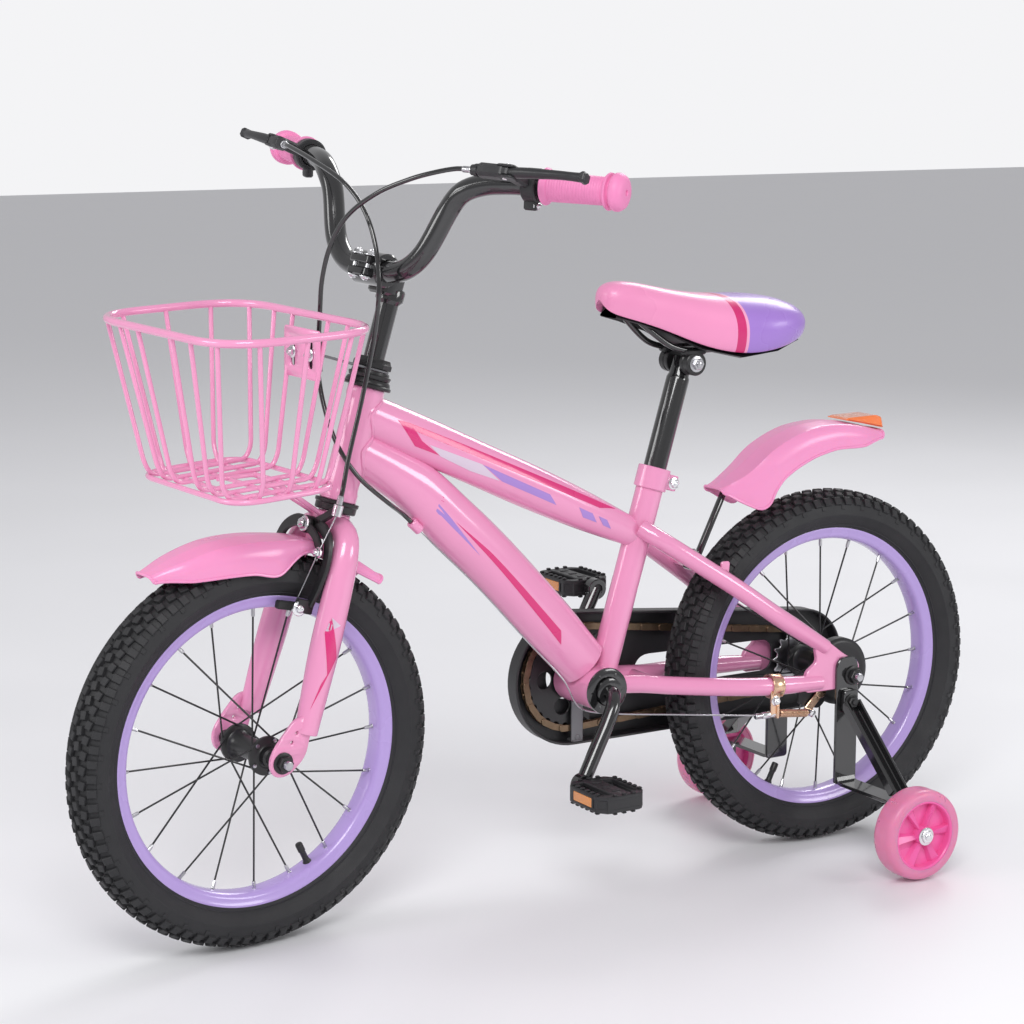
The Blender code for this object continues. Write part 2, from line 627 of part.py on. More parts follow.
def build_lever(side):
    pivot, axis = lever_axis(side)
    tip = Vector((LEVER_TIP[0], LEVER_TIP[1] * side, LEVER_TIP[2]))
    along = (tip - pivot).normalized()
    ahead = axis.cross(along) * -1
    points = [pivot + along * 14, pivot + along * 24 + ahead * 2, pivot.lerp(tip, 0.5) + ahead * 3,
              tip - along * 25 + ahead * 3, tip]
    blade = tube(smooth_route(points, 24), 5.0, 6)
    thick = LEVER_SLOT / 2 - 0.4
    eye = rod(pivot - axis * thick, pivot + axis * thick, 6.6, 12)
    root = box(pivot + along * 9, (20, 9, thick * 2 - 0.2), axis, along)
    bulb = rod(tip - along * 4, tip + along * 3, 6.4, 8)
    return cut(fused(blade, eye, root, bulb), rod(pivot - axis * 15, pivot + axis * 15, LEVER_PIN_R + 0.4, 8))


def build_steering(pivots):
    steer, bar = pivots["steering"], pivots["bar"]
    head = frame_at(on_head(0), HEAD_UP, HEAD_FORWARD)
    high = HEAD_HIGH
    part("fork", build_fork(), PINK, steer, 50)
    race = [(13.1, high + 9.4), (21, high + 9.4), (22, high + 13), (19, high + 17.4), (13.1, high + 17.4)]
    part("headset_upper_race", turned(race, head, HEAD_STEPS, True), BLACK, steer)
    nut = [(13.1, high + 20.6), (20, high + 20.6), (20, high + 27), (17, high + 30.5), (13.1, high + 30.5)]
    part("headset_locknut", turned(nut, head, HEAD_STEPS, True), BLACK, steer)
    part("stem", build_stem(), BLACK, bar)
    part("handlebar", build_handlebar(), BLACK, bar)
    for side, word in ((1, "left"), (-1, "right")):
        part("grip_" + word, build_grip(side), PINK_PLASTIC, bar)
        part("brake_lever_mount_" + word, build_lever_mount(side), BLACK_PLASTIC, bar)
        part("brake_lever_" + word, build_lever(side), BLACK_PLASTIC, pivots["lever_" + word])


# Wheels
def tyre(axle):
    half = [(159.5, 9.5), (159.5, 14.8), (170, 26), (184, TYRE_HALF - 0.5), (TYRE_R, 8)]
    profile = half + [(r, -y) for r, y in reversed(half)]
    return turned(profile, frame_at(axle, Y, Z), WHEEL_STEPS, closed=True)


def rim(axle, valve_turn):
    half = [(RIM_R, 12.8), (RIM_R, RIM_HALF), (RIM_INNER_R, 7)]
    inside = [(150, 7)]
    profile = half + [(r, -y) for r, y in reversed(half)] + [(r, -y) for r, y in reversed(inside)] + inside
    ring = turned(profile, frame_at(axle, Y, Z), WHEEL_STEPS, closed=True)
    out = Vector((math.cos(valve_turn), 0, math.sin(valve_turn)))
    valve = rod(Vector(axle) + out * 124, Vector(axle) + out * 147, 2.8, 8)
    return fused(ring, valve)


def spoke_set(axle):
    """Straight spokes to just short of the rim; those that cross leave opposite faces of their flange."""
    spokes = []
    reach = RIM_INNER_R - 2 * GAP
    for i in range(SPOKES):
        turn = 2 * math.pi * i / SPOKES
        side = 1 if i % 2 else -1
        lead = 1 if (i // 2) % 2 else -1
        start = turn + lead * SPOKE_LEAD
        hole = Vector((17 * math.cos(start), side * FLANGE_Y + lead * 1.6, 17 * math.sin(start)))
        end = Vector((reach * math.cos(turn), side * 2.5, reach * math.sin(turn)))
        spokes.append(rod(Vector(axle) + hole, Vector(axle) + end, SPOKE_R, 3))
    return spokes


def hub(axle, left, right, drum=False):
    """A flanged shell with a bore; the rear one carries a brake drum on its left end."""
    flange = [(12, FLANGE_Y - 4), (FLANGE_R, FLANGE_Y - 2), (FLANGE_R, FLANGE_Y + 2), (12, FLANGE_Y + 2)]
    profile = [(AXLE_BORE, left)]
    profile += [(33, left), (33, 32), (12, 32)] if drum else [(12, left)]
    profile += flange[::-1]
    profile += [(r, -y) for r, y in flange]
    profile += [(12, right), (AXLE_BORE, right)]
    return fused(turned(profile, frame_at(axle, Y, Z), 12, closed=True), *spoke_set(axle))


def build_axle(axle, spans, reach):
    pieces = [rod(Vector(axle) - Y * reach, Vector(axle) + Y * reach, AXLE_R, 8)]
    for start, end, radius, sides in spans:
        pieces.append(rod(Vector(axle) + Y * start, Vector(axle) + Y * end, radius, sides))
    return fused(*pieces)


def sprocket(centre, radius, bore):
    middle = Vector(centre) + Y * CHAIN_Y
    return plate([circle((0, 0), radius, 20), circle((0, 0), bore, 12)], 3.0, frame_at(middle, Y, Z))


def build_wheels(pivots):
    front, rear = pivots["front_wheel"], pivots["rear_wheel"]
    part("front_tyre", tyre(FRONT_AXLE), RUBBER, front)
    part("front_rim", rim(FRONT_AXLE, math.radians(-116.5)), PURPLE, front)
    part("front_hub", hub(FRONT_AXLE, 31, -31), BLACK, front)
    spans = [(side * a, side * b, r, n) for side in (1, -1) for a, b, r, n in
             ((31.4, 52.7, 8, 6), (58.3, 66, 8.5, 6))]
    part("front_axle", build_axle(FRONT_AXLE, spans, 71), STEEL, pivots["steering"])
    part("rear_tyre", tyre(REAR_AXLE), RUBBER, rear)
    part("rear_rim", rim(REAR_AXLE, math.radians(-63)), PURPLE, rear)
    part("rear_hub", hub(REAR_AXLE, 41, -43, drum=True), BLACK, rear)
    part("rear_sprocket", sprocket(REAR_AXLE, SPROCKET_PITCH_R - 4.8, 12.8), DARK_STEEL, rear)
    spans = [(41.5, 55.1, 8, 6), (-43.5, -55.1, 8, 6), (66.1, 75, 8.5, 6), (-66.1, -75, 8.5, 6)]
    part("rear_axle", build_axle(REAR_AXLE, spans, 80), STEEL)


# Cranks, chain and guard
def build_crank():
    """A one-piece crank: arm, spindle and arm bent from one bar."""
    arm = [(0, 45), (3, 51), (12, 58), (30, 62.5), (CRANK, 71.5)]
    left = [Vector(BB) + crank_dir(1) * d + Y * y for d, y in arm]
    right = [Vector(BB) + crank_dir(-1) * d - Y * y for d, y in arm]
    bar = tube(list(reversed(right)) + left, CRANK_R, 8)
    eyes = [rod(crank_end(s) - Y * 6, crank_end(s) + Y * 6, 11.5, 10) for s in (1, -1)]
    holes = [rod(crank_end(s) - Y * 20, crank_end(s) + Y * 20, 6.4, 12) for s in (1, -1)]
    return cut(fused(bar, *eyes), *holes)


def build_pedal(side):
    """A caged platform on a bored middle barrel, with its spindle into the crank."""
    centre = crank_end(side) + Y * side * (PEDAL_Y - 72)
    frame = frame_at(centre, Z, X)
    half_x, half_y = PEDAL_LONG / 2, PEDAL_WIDE / 2
    corners = [(-half_x + 8, -half_y), (half_x - 8, -half_y), (half_x, -half_y + 12), (half_x, half_y - 12),
               (half_x - 8, half_y), (-half_x + 8, half_y), (-half_x, half_y - 12), (-half_x, -half_y + 12)]
    windows = [[(s * 9, -half_y + 9), (s * (half_x - 8), -half_y + 12), (s * (half_x - 8), half_y - 12),
                (s * 9, half_y - 9)] for s in (1, -1)]
    cage = plate([corners, *windows], PEDAL_TALL, frame)
    inner = centre - Y * side * (half_y - 2)
    spindle = rod(crank_end(side) - Y * side * 5, inner, 5.9, 12)
    return fused(cage, spindle)


def build_guard():
    """An open-middled chain guard: a pan round the drive with a strap inside."""
    deep = GUARD_IN - GUARD_OUT
    pan = plate([belt(GUARD_FRONT_R, GUARD_REAR_R)], deep, side_frame((GUARD_IN + GUARD_OUT) / 2))
    inner = belt(GUARD_FRONT_R - GUARD_WALL, GUARD_REAR_R - GUARD_WALL)
    hollow = plate([inner], deep, side_frame((GUARD_IN + GUARD_OUT) / 2 + GUARD_WALL))
    window = plate([rounded([(30, 190), (30, 226), (216, 229), (226, 190)], 14, 2)], 20, side_frame(GUARD_OUT))
    holes = [rod((0, GUARD_OUT - 10, AXLE_Z), (0, GUARD_OUT + 10, AXLE_Z), 9.5, 10),
             rod((BB[0], GUARD_OUT - 10, BB[2]), (BB[0], GUARD_OUT + 10, BB[2]), 26, 14)]
    pan = cut(pan, hollow, window, *holes)
    strap = box((303, GUARD_IN - 3, 168.5), (15, 2.5, 49))
    foot = box((303, GUARD_IN - 7, 146), (13, 13, 3))
    return fused(pan, strap, foot)


def build_chain():
    outer = belt(RING_PITCH_R + 4.3, SPROCKET_PITCH_R + 4.3)
    inner = belt(RING_PITCH_R - 3.9, SPROCKET_PITCH_R - 3.9)
    return plate([outer, inner], 7.5, side_frame(CHAIN_Y))


def build_drive(pivots):
    part("crank", build_crank(), BLACK, pivots["crank"])
    part("chainring", sprocket(BB, RING_PITCH_R - 4.8, CRANK_R + 0.7), DARK_STEEL, pivots["crank"])
    part("chain", build_chain(), DARK_STEEL)
    part("chain_guard", build_guard(), BLACK_PLASTIC)
    for side, word in ((1, "left"), (-1, "right")):
        part("pedal_" + word, build_pedal(side), BLACK_PLASTIC, pivots["pedal_" + word])


# Stabilisers
def build_stabiliser_bracket(side):
    """A flat bar on the axle, bent out under the wheel to a tab that holds its bolt."""
    upright = box((7, side * 63.8, 151), (30, 4, 146))
    arm = box((7, side * 113, 80), (26, 102, 4))
    tab = box((6, side * 162, 59), (26, 4, 46))
    bolt = rod((STAB_X, side * 160, STAB_Z), (STAB_X, side * 205, STAB_Z), 4, 10)
    head = rod((STAB_X, side * 203, STAB_Z), (STAB_X, side * 208, STAB_Z), 7.5, 6)
    nut = rod((STAB_X, side * 153, STAB_Z), (STAB_X, side * 161, STAB_Z), 7.5, 6)
    body = fused(upright, arm, tab, bolt, head, nut)
    return cut(body, rod((0, side * 50, AXLE_Z), (0, side * 80, AXLE_Z), AXLE_R + 0.4, 8))


def build_stabiliser_brace(side):
    """A channel bar from the bracket's upright down to its outer end."""
    top, low = Vector((6, side * 71, 172)), Vector((6, side * 157.5, 90))
    run = (low - top).normalized()
    bar = box((top + low) / 2, (22, 11, (low - top).length), run, X)
    outward = run.cross(X) * side
    groove = box((top + low) / 2 + outward * 3.4, (16, 9, (low - top).length + 20), run, X)
    pad = box((6, side * 69.4, 172), (20, 6.4, 24))
    bolt = rod((6, side * 68, 172), (6, side * 78, 172), 6.5, 6)
    bar = cut(bar, groove)
    return fused(bar, pad, bolt)


def build_stabiliser_wheel(side):
    frame = frame_at((STAB_X, side * STAB_Y, STAB_Z), Y * side, Z)
    half = STAB_WIDE / 2
    profile = [(4.7, -half - 6), (10, -half - 6), (10, -5), (37, -5), (38, -half), (STAB_R, -half + 4),
               (STAB_R, half - 4), (38, half), (37, 5), (10, half), (4.7, half)]
    return turned(profile, frame, 18, closed=True)


def build_stabilisers(pivots):
    for side, word in ((1, "left"), (-1, "right")):
        part("stabiliser_bracket_" + word, build_stabiliser_bracket(side), BLACK)
        part("stabiliser_brace_" + word, build_stabiliser_brace(side), BLACK)
        part("stabiliser_wheel_" + word, build_stabiliser_wheel(side), PINK_PLASTIC, pivots["stabiliser_" + word])


# Mudguards
def guard_shell(ridge, half_width, drop, axle, columns, thickness=2.4, rows=6):
    """A ridged shell over a wheel; half_width and drop give its side edges along the ridge."""
    line = smooth_route(ridge, 6)

    def along(values, u):
        place = u * (len(values) - 1)
        low = min(int(place), len(values) - 2)
        return values[low] + (values[low + 1] - values[low]) * (place - low)

    def shape(u, v):
        place = u * (len(line) - 1)
        low = min(int(place), len(line) - 2)
        top = line[low].lerp(line[low + 1], place - low)
        inward = (Vector(axle) - top).normalized()
        across = 2 * v - 1
        bend = abs(across)
        fall = 0.16 * bend if bend < 0.5 else 0.08 + 1.84 * (bend - 0.5)
        wide = math.sin(min(bend * 1.25, 1) * math.pi / 2) * math.copysign(1, across)
        return top + inward * fall * along(drop, u) + Y * wide * along(half_width, u)

    return sheet(columns, rows, shape, thickness)


def build_front_mudguard():
    ridge = [(832, 0, 396), (800, 0, 408.5), (760, 0, 419), (718, 0, 421.5), (680, 0, 418), (645, 0, 410),
             (610, 0, 394), (568, 0, 366)]
    half_width = [15, 26, 31, 32.5, 32, 24, 23, 23, 22]
    drop = [8, 22, 30, 33, 36, 13, 12, 12, 9]
    shell = guard_shell(ridge, half_width, drop, FRONT_AXLE, 15)
    tab = plate([rounded([(-12, -46), (-8, -20), (8, -20), (12, -46)], 5, 1)], 1.8,
                frame_at(on_head(0, 18.3), HEAD_FORWARD, Y))
    hole = rod(on_head(BOLT_T, 0), on_head(BOLT_T, 40), 3.3, 12)
    return cut(fused(shell, tab), hole)


def build_rear_mudguard():
    ridge = [(149, 0, 419), (138.5, 0, 424), (112, 0, 440.5), (82, 0, 461.5), (44, 0, 477), (9, 0, 482),
             (-15, 0, 481.4), (-44, 0, 476), (-73, 0, 468)]
    half_width = [17, 26, 30, 31, 31.5, 31.5, 31, 29, 22]
    drop = [7, 28, 45, 48, 41, 37, 35.5, 34.5, 33.5, 32, 30.5, 29, 28, 26, 22, 15, 9]
    return guard_shell(ridge, half_width, drop, REAR_AXLE, 16)


def build_mudguard_stay():
    """A flat bar from a block on the seat stays' bridge up under the guard's front end."""
    low, high = Vector((169.5, 0, 341)), Vector((126.95, 0, 425.5))
    run = (high - low).normalized()
    bar = box((low + high) / 2, (6, 10, (high - low).length), run, X)
    block = box(Vector(BRIDGE) + Vector((1.5, 0, 3)), (16, 20, 16))
    hole = rod((BRIDGE[0], -40, BRIDGE[2]), (BRIDGE[0], 40, BRIDGE[2]), BRIDGE_R + 0.4, 8)
    return cut(fused(bar, block), hole)


def build_mudguards(pivots):
    part("front_mudguard", build_front_mudguard(), PINK_PLASTIC, pivots["steering"], 45)
    part("rear_mudguard", build_rear_mudguard(), PINK_PLASTIC, None, 45)
    part("rear_mudguard_stay", build_mudguard_stay(), PINK_PLASTIC)
    wedge = [(-20, 482.7), (-26, 484.8), (-66, 485.4), (-73, 482.6), (-76, 470.2), (-44, 477.8)]
    part("rear_reflector", plate([wedge], 34, frame_at((0, 0, 0), -Y, X)), RED)


# Basket
def loop(centre_x, half_x, half_y, radius, height):
    """A closed rounded rectangle of places in mm; height(x) gives each place's z."""
    corners = [(centre_x + half_x, half_y), (centre_x - half_x, half_y), (centre_x - half_x, -half_y),
               (centre_x + half_x, -half_y)]
    return [(x, y, height(x)) for x, y in rounded(corners, radius, 3)]


def rim_height(x):
    return BASKET_Z - (x - BASKET_X) * math.tan(math.radians(BASKET_TILT))


def floor_height(x):
    share = (x - FLOOR_BACK) / (FLOOR_FRONT - FLOOR_BACK)
    return FLOOR_BACK_Z + (FLOOR_FRONT_Z - FLOOR_BACK_Z) * share


def rim_inset(beyond):
    """How far the rim lies inside its straight side, this far past the start of its rounded corner."""
    share = 1 - math.sqrt(1 - max(beyond, 0) / RIM_CORNER)
    return RIM_CORNER * share * share


def upright_along_x(share):
    """One wire down the front, back across the floor and up the rear."""
    top, low = share * (BASKET_HALF_Y - 8), share * (FLOOR_HALF_Y - 6)
    reach = BASKET_HALF_X - rim_inset(abs(top) - BASKET_HALF_Y + RIM_CORNER)
    front, back = BASKET_X + reach, BASKET_X - reach
    points = [(front, top, rim_height(front)), (FLOOR_FRONT + 3, low, FLOOR_FRONT_Z + 14),
              (FLOOR_FRONT - 5, low, FLOOR_FRONT_Z + 1.5), (FLOOR_BACK + 5, low, FLOOR_BACK_Z + 1.5),
              (FLOOR_BACK - 2, low, FLOOR_BACK_Z + 14), (back, top, rim_height(back))]
    return tube(points, UPRIGHT_WIRE, 4)


def upright_along_y(share):
    reach = share * (BASKET_HALF_X - 6)
    top, side = BASKET_X + reach, BASKET_HALF_Y - rim_inset(abs(reach) - BASKET_HALF_X + RIM_CORNER)
    low = (FLOOR_FRONT + FLOOR_BACK) / 2 + share * (FLOOR_FRONT - FLOOR_BACK - 16) / 2
    z = floor_height(low)
    points = [(top, side, rim_height(top)), (low, FLOOR_HALF_Y + 4, z + 14),
              (low, FLOOR_HALF_Y - 6, z - 1.5)]
    points += [(x, -y, h) for x, y, h in reversed(points)]
    return tube(points, UPRIGHT_WIRE, 4)


def build_basket():
    middle, half = (FLOOR_FRONT + FLOOR_BACK) / 2, (FLOOR_FRONT - FLOOR_BACK) / 2
    top_ring = tube(loop(BASKET_X, BASKET_HALF_X, BASKET_HALF_Y, RIM_CORNER, rim_height), RIM_WIRE, 6, cyclic=True)
    low_ring = tube(loop(middle, half, FLOOR_HALF_Y, 34, floor_height), FLOOR_WIRE, 6, cyclic=True)
    wires = [upright_along_x(share) for share in UPRIGHTS_Y] + [upright_along_y(share) for share in UPRIGHTS_X]
    slots = [rounded([(y - 4, -14), (y + 4, -14), (y + 4, 14), (y - 4, 14)], 3, 1) for y in (-16, 16)]
    outline = rounded([(-32, -25), (32, -25), (32, 25), (-32, 25)], 3, 1)
    back = plate([outline, *slots], 3.5, frame_at((652.2, 0, 597), X, Y))
    stays = [rod((697, y, 477.5), on_head(-13.5, 21.4, y / 2), 2.6, 6) for y in (-16, 16)]
    tab = plate([rounded([(-13, -35), (13, -35), (13, -10.5), (-13, -10.5)], 4, 1)], 1.6,
                frame_at(on_head(0, 20.5), HEAD_FORWARD, Y))
    body = fused(top_ring, low_ring, *wires, back, *stays, tab)
    return simplified(cut(body, rod(on_head(BOLT_T, 0), on_head(BOLT_T, 40), 3.4, 8)))


def build_basket_bracket():
    """A strap from under the locknut forward to the basket's back plate."""
    level = HEAD_HIGH + 19.1
    ring = rod(on_head(level - 1.2), on_head(level + 1.2), 18, 16)
    strap = box(on_head(level, 42.75), (69.5, 24, 2.4), HEAD_UP, HEAD_FORWARD)
    tab = box((645.4, 0, 598), (3, 50, 34))
    bolts = [rod((641, y, 597), (657, y, 597), 2.8, 6) for y in (-16, 16)]
    heads = [rod((654.3, y, 597), (659, y, 597), 6.0, 6) for y in (-16, 16)]
    body = fused(strap, ring, tab, *bolts, *heads)
    return cut(body, rod(on_head(level - 20), on_head(level + 20), 13.1, 16))


# Front caliper
def arm_outline(line, wide):
    """An outline wide mm across along a line of (side, up) points."""
    left, right = [], []
    for i, point in enumerate(line):
        before, after = line[max(i - 1, 0)], line[min(i + 1, len(line) - 1)]
        run = (Vector(after) - Vector(before)).normalized()
        left.append((point[0] - run.y * wide / 2, point[1] + run.x * wide / 2))
        right.append((point[0] + run.y * wide / 2, point[1] - run.x * wide / 2))
    return left + right[::-1]


def arm_plate(line, wide, forward):
    """A flat arm in the plane across the bolt; local X to the left, local Y up the head axis."""
    matrix = Matrix((Y, HEAD_UP, HEAD_FORWARD)).transposed().to_4x4()
    matrix.translation = at(*on_head(0, forward + ARM_THICK / 2))
    return plate([arm_outline(line, wide)], ARM_THICK, matrix)


def build_caliper_arm(side):
    """The left arm carries the cable barrel; the right arm crosses over to the wire's anchor."""
    forward = ARM_REAR if side > 0 else ARM_FRONT
    middle = forward + ARM_THICK / 2
    main = arm_plate([(y * side, t) for y, t in ARM_BOW], 11, forward)
    eye = rod(on_head(BOLT_T, forward), on_head(BOLT_T, forward + ARM_THICK), 9, 12)
    if side > 0:
        reach = arm_plate([(6, -24), (24, -14), (36, -6)], 9, forward)
        end = rod(on_head(-12, middle - 1.5, 37), on_head(0, middle - 1.5, 37), 5, 8)
    else:
        reach = arm_plate([(-4, -28), (10, -31), (24, -38), (35, -50)], 9, forward)
        end = rod(on_head(-51, forward + 0.4, 36), on_head(-51, forward + 9, 36), 4.5, 8)
    holder = box(on_head(-105.5, (middle + PAD_F) / 2, 33.2 * side), (PAD_F - middle + 6, 5, 14), HEAD_UP,
                 HEAD_FORWARD)
    bolt = rod(on_head(PAD_T, PAD_F, 31 * side), on_head(PAD_T, PAD_F, 41 * side), 4.6, 8)
    body = fused(main, eye, reach, holder, bolt, end)
    return cut(body, rod(on_head(BOLT_T, 0), on_head(BOLT_T, 60), 3.3, 12))


def build_pad(side):
    centre = on_head(PAD_T, PAD_F, side * (PAD_IN + PAD_OUT) / 2)
    out = (centre - Vector(FRONT_AXLE)).normalized()
    out.y = 0
    along = Y.cross(out).normalized()
    shoe = box(centre, (38, PAD_OUT - PAD_IN, 8.5), out, along)
    post = rod(centre, on_head(PAD_T, PAD_F, side * 30.2), 4, 8)
    return fused(shoe, post)


def build_front_brake(pivots):
    bolt = fused(rod(on_head(BOLT_T, -26), on_head(BOLT_T, 37), 3.0, 12),
                 rod(on_head(BOLT_T, 31.9), on_head(BOLT_T, 38), 6, 6),
                 rod(on_head(BOLT_T, -25), on_head(BOLT_T, -17.6), 6, 6))
    part("caliper_bolt", bolt, STEEL, pivots["steering"])
    for side, word in ((1, "left"), (-1, "right")):
        part("caliper_arm_" + word, build_caliper_arm(side), BLACK, pivots["caliper_" + word])
        part("brake_pad_" + word, build_pad(side), BLACK_PLASTIC, pivots["caliper_" + word])


# Rear band brake
def build_brake_cover():
    """A fixed pan over the drum, with a lug for its lever."""
    pan = turned([(38, 45), (38, 31), (35.5, 31), (35.5, 42.4), (8.8, 42.4), (8.8, 45)], frame_at(REAR_AXLE, Y, Z),
                 16, True)
    lug = plate([rounded([(20, 172), (30, 192), (58, 190), (60, 172), (30, 163)], 5, 1)], 2.2, side_frame(43.6))
    return fused(pan, lug)


def build_brake_arm():
    pivot, end = Vector(BRAKE_ARM_PIVOT), Vector(BRAKE_ARM_END)
    eye = rod((pivot.x, 45.5, pivot.z), (pivot.x, 48.8, pivot.z), 7, 10)
    low = Vector((end.x, pivot.y, end.z))
    bar = box((pivot + low) / 2, (10, 2.6, (low - pivot).length), low - pivot, X)
    block = rod((end.x, 45.5, end.z), (end.x, 60, end.z), 4.2, 8)
    return fused(eye, bar, block)


def build_anchor_clamp():
    """A strap round the chain stay with a leg down to the plate and barrel that hold the cable."""
    along = Vector((1, -0.06, 0.06)).normalized()
    centre = Vector(STAY_CLAMP)
    ring = rod(centre - along * 7, centre + along * 7, 13.8, 12)
    leg = box((108, 66, 186), (8, 3, 26))
    bolt = rod((108, 63, 187), (108, 72, 187), 4.0, 6)
    foot = box((105.5, 64, 174), (3, 11, 14))
    barrel = rod((106, BARREL_END[1], BARREL_END[2]), (BARREL_FRONT, BARREL_END[1], BARREL_END[2]), 3.6, 8)
    body = fused(ring, leg, bolt, foot, barrel)
    return cut(body, rod(centre - along * 30, centre + along * 30, STAY_R + 1.1, 12))


def spring_points():
    """A helix from the barrel's plate to the brake arm, with straight ends square to what they meet."""
    start = Vector(BARREL_END) - X * GAP
    end = Vector((BRAKE_ARM_END[0] + 4.4 + GAP, 57.5, BRAKE_ARM_END[2] + 1))
    axis = (end - start).normalized()
    frame = frame_at(start, axis, Z).to_3x3()
    lead = 2 * SPRING_WIRE
    turns = round(SPRING_CURLS * CURL_POINTS)
    long = (end - start).length - 2 * lead
    points = [start + frame @ Vector((SPRING_R, 0, 0))]
    for i in range(turns + 1):
        angle = 2 * math.pi * i / CURL_POINTS
        points.append(start + frame @ Vector((SPRING_R * math.cos(angle), SPRING_R * math.sin(angle),
                                              lead + long * i / turns)))
    points.append(points[-1] + axis * lead)
    return points


def build_spring():
    points = spring_points()
    near = min((a - b).length for i, a in enumerate(points) for b in points[i + 5:])
    print("spring: least gap to itself, mm:", round(near - 2 * SPRING_WIRE, 2))
    return tube(points, SPRING_WIRE, 6)


def build_rear_brake(pivots):
    part("band_brake_cover", build_brake_cover(), BLACK)
    part("rear_brake_arm", build_brake_arm(), STEEL, pivots["brake_arm"])
    part("brake_anchor_clamp", build_anchor_clamp(), COPPER)
    part("rear_brake_spring", build_spring(), COPPER)


# Saddle
def cushion_ring(station):
    """One cross-section of the cushion: crowned top, drawn-in sides, hollow underside."""
    x, wide, top, edge, under = station
    tall = top - edge
    half = [(0.0, top), (0.65 * wide, top - 0.06 * tall), (1.02 * wide, top - 0.42 * tall), (0.88 * wide, edge),
            (0.6 * wide, under - 0.04 * tall), (0.0, under)]
    return [(x, y, z) for y, z in half] + [(x, -y, z) for y, z in reversed(half[1:-1])]


def lofted(rings):
    """A closed skin over rings of places in mm, one ring after the next."""
    form = bmesh.new()
    loops = [[form.verts.new(at(*place)) for place in ring] for ring in rings]
    count = len(loops[0])
    for low, high in zip(loops, loops[1:]):
        for i in range(count):
            form.faces.new((low[i], low[(i + 1) % count], high[(i + 1) % count], high[i]))
    form.faces.new(loops[0])
    form.faces.new(loops[-1])
    return from_bmesh(form, Matrix())


def build_cushion():
    piece = lofted([cushion_ring(station) for station in SADDLE_STATIONS])
    soft = piece.modifiers.new("soft", "SUBSURF")
    soft.levels = 1
    soft.render_levels = 1
    return baked(piece)


def build_saddle_base():
    """A thin shell under the cushion with two rails down to the clamp."""
    rings = []
    for x, wide, top, edge, under in SADDLE_STATIONS[1:-1]:
        half = [(0.3 * wide, under - 3.4), (0.32 * wide, under - 6.5)]
        section = [(0, under - 1.4), *half, *[(-y, z) for y, z in reversed(half)]]
        rings.append([(x, y, z) for y, z in section])
    rails = [tube(mirrored(RAIL_LINE, side), RAIL_R, 6) for side in (1, -1)]
    return fused(lofted(rings), *rails)


def build_saddle(pivots):
    post, tilt = pivots["post"], pivots["saddle"]
    base = Vector(SEAT_HIGH)
    middle = saddle_centre()
    stem = fused(rod(base - SEAT_UP * POST_INSERT, base + SEAT_UP * POST_THICK_RISE, POST_R, TUBE_SIDES),
                 rod(base + SEAT_UP * (POST_THICK_RISE - 4), base + SEAT_UP * POST_RISE, POST_TOP_R, TUBE_SIDES))
    stem = cut(stem, rod(middle - Y * 50, middle + Y * 50, 4.7, 10))
    part("seatpost", stem, BLACK, post)
    clamp = fused(rod(middle - Y * 32, middle + Y * 32, 4.2, 10),
                  *[rod(middle + Y * s * 11.8, middle + Y * s * 27, 13, 10) for s in (1, -1)])
    grooves = [tube(mirrored(RAIL_LINE[1:-1], side), RAIL_R + 0.5, 6) for side in (1, -1)]
    part("saddle_clamp", cut(clamp, *grooves), BLACK, tilt)
    part("saddle_base", build_saddle_base(), BLACK_PLASTIC, tilt)
    part("saddle_cushion", build_cushion(), SADDLE, tilt)


# Brake cables
def adjuster_end(side):
    """The outer end of a lever's adjuster and the bar's direction there, after the bar's turn."""
    along = bar_direction(side)
    place = lever_axis(side)[0] - along * (38 + GAP)
    turn = Matrix.Rotation(math.radians(BAR_TURN), 4, HEAD_UP)
    centre = Vector(HEAD_POINT)
    return centre + turn @ (place - centre), turn @ along


def before_steering(place):
    """Where a place on the frame lies for a piece that the steering's rest angle still has to turn."""
    centre = Vector(HEAD_POINT)
    return centre + Matrix.Rotation(math.radians(-STEER_REST), 4, HEAD_UP) @ (Vector(place) - centre)


def cable(places, radius=CABLE_R):
    route = smooth_route(places, CABLE_STEP)
    print("cable: points", len(route), "length in mm", round(sum((b - a).length for a, b in zip(route, route[1:]))))
    return tube(route, radius, 8)


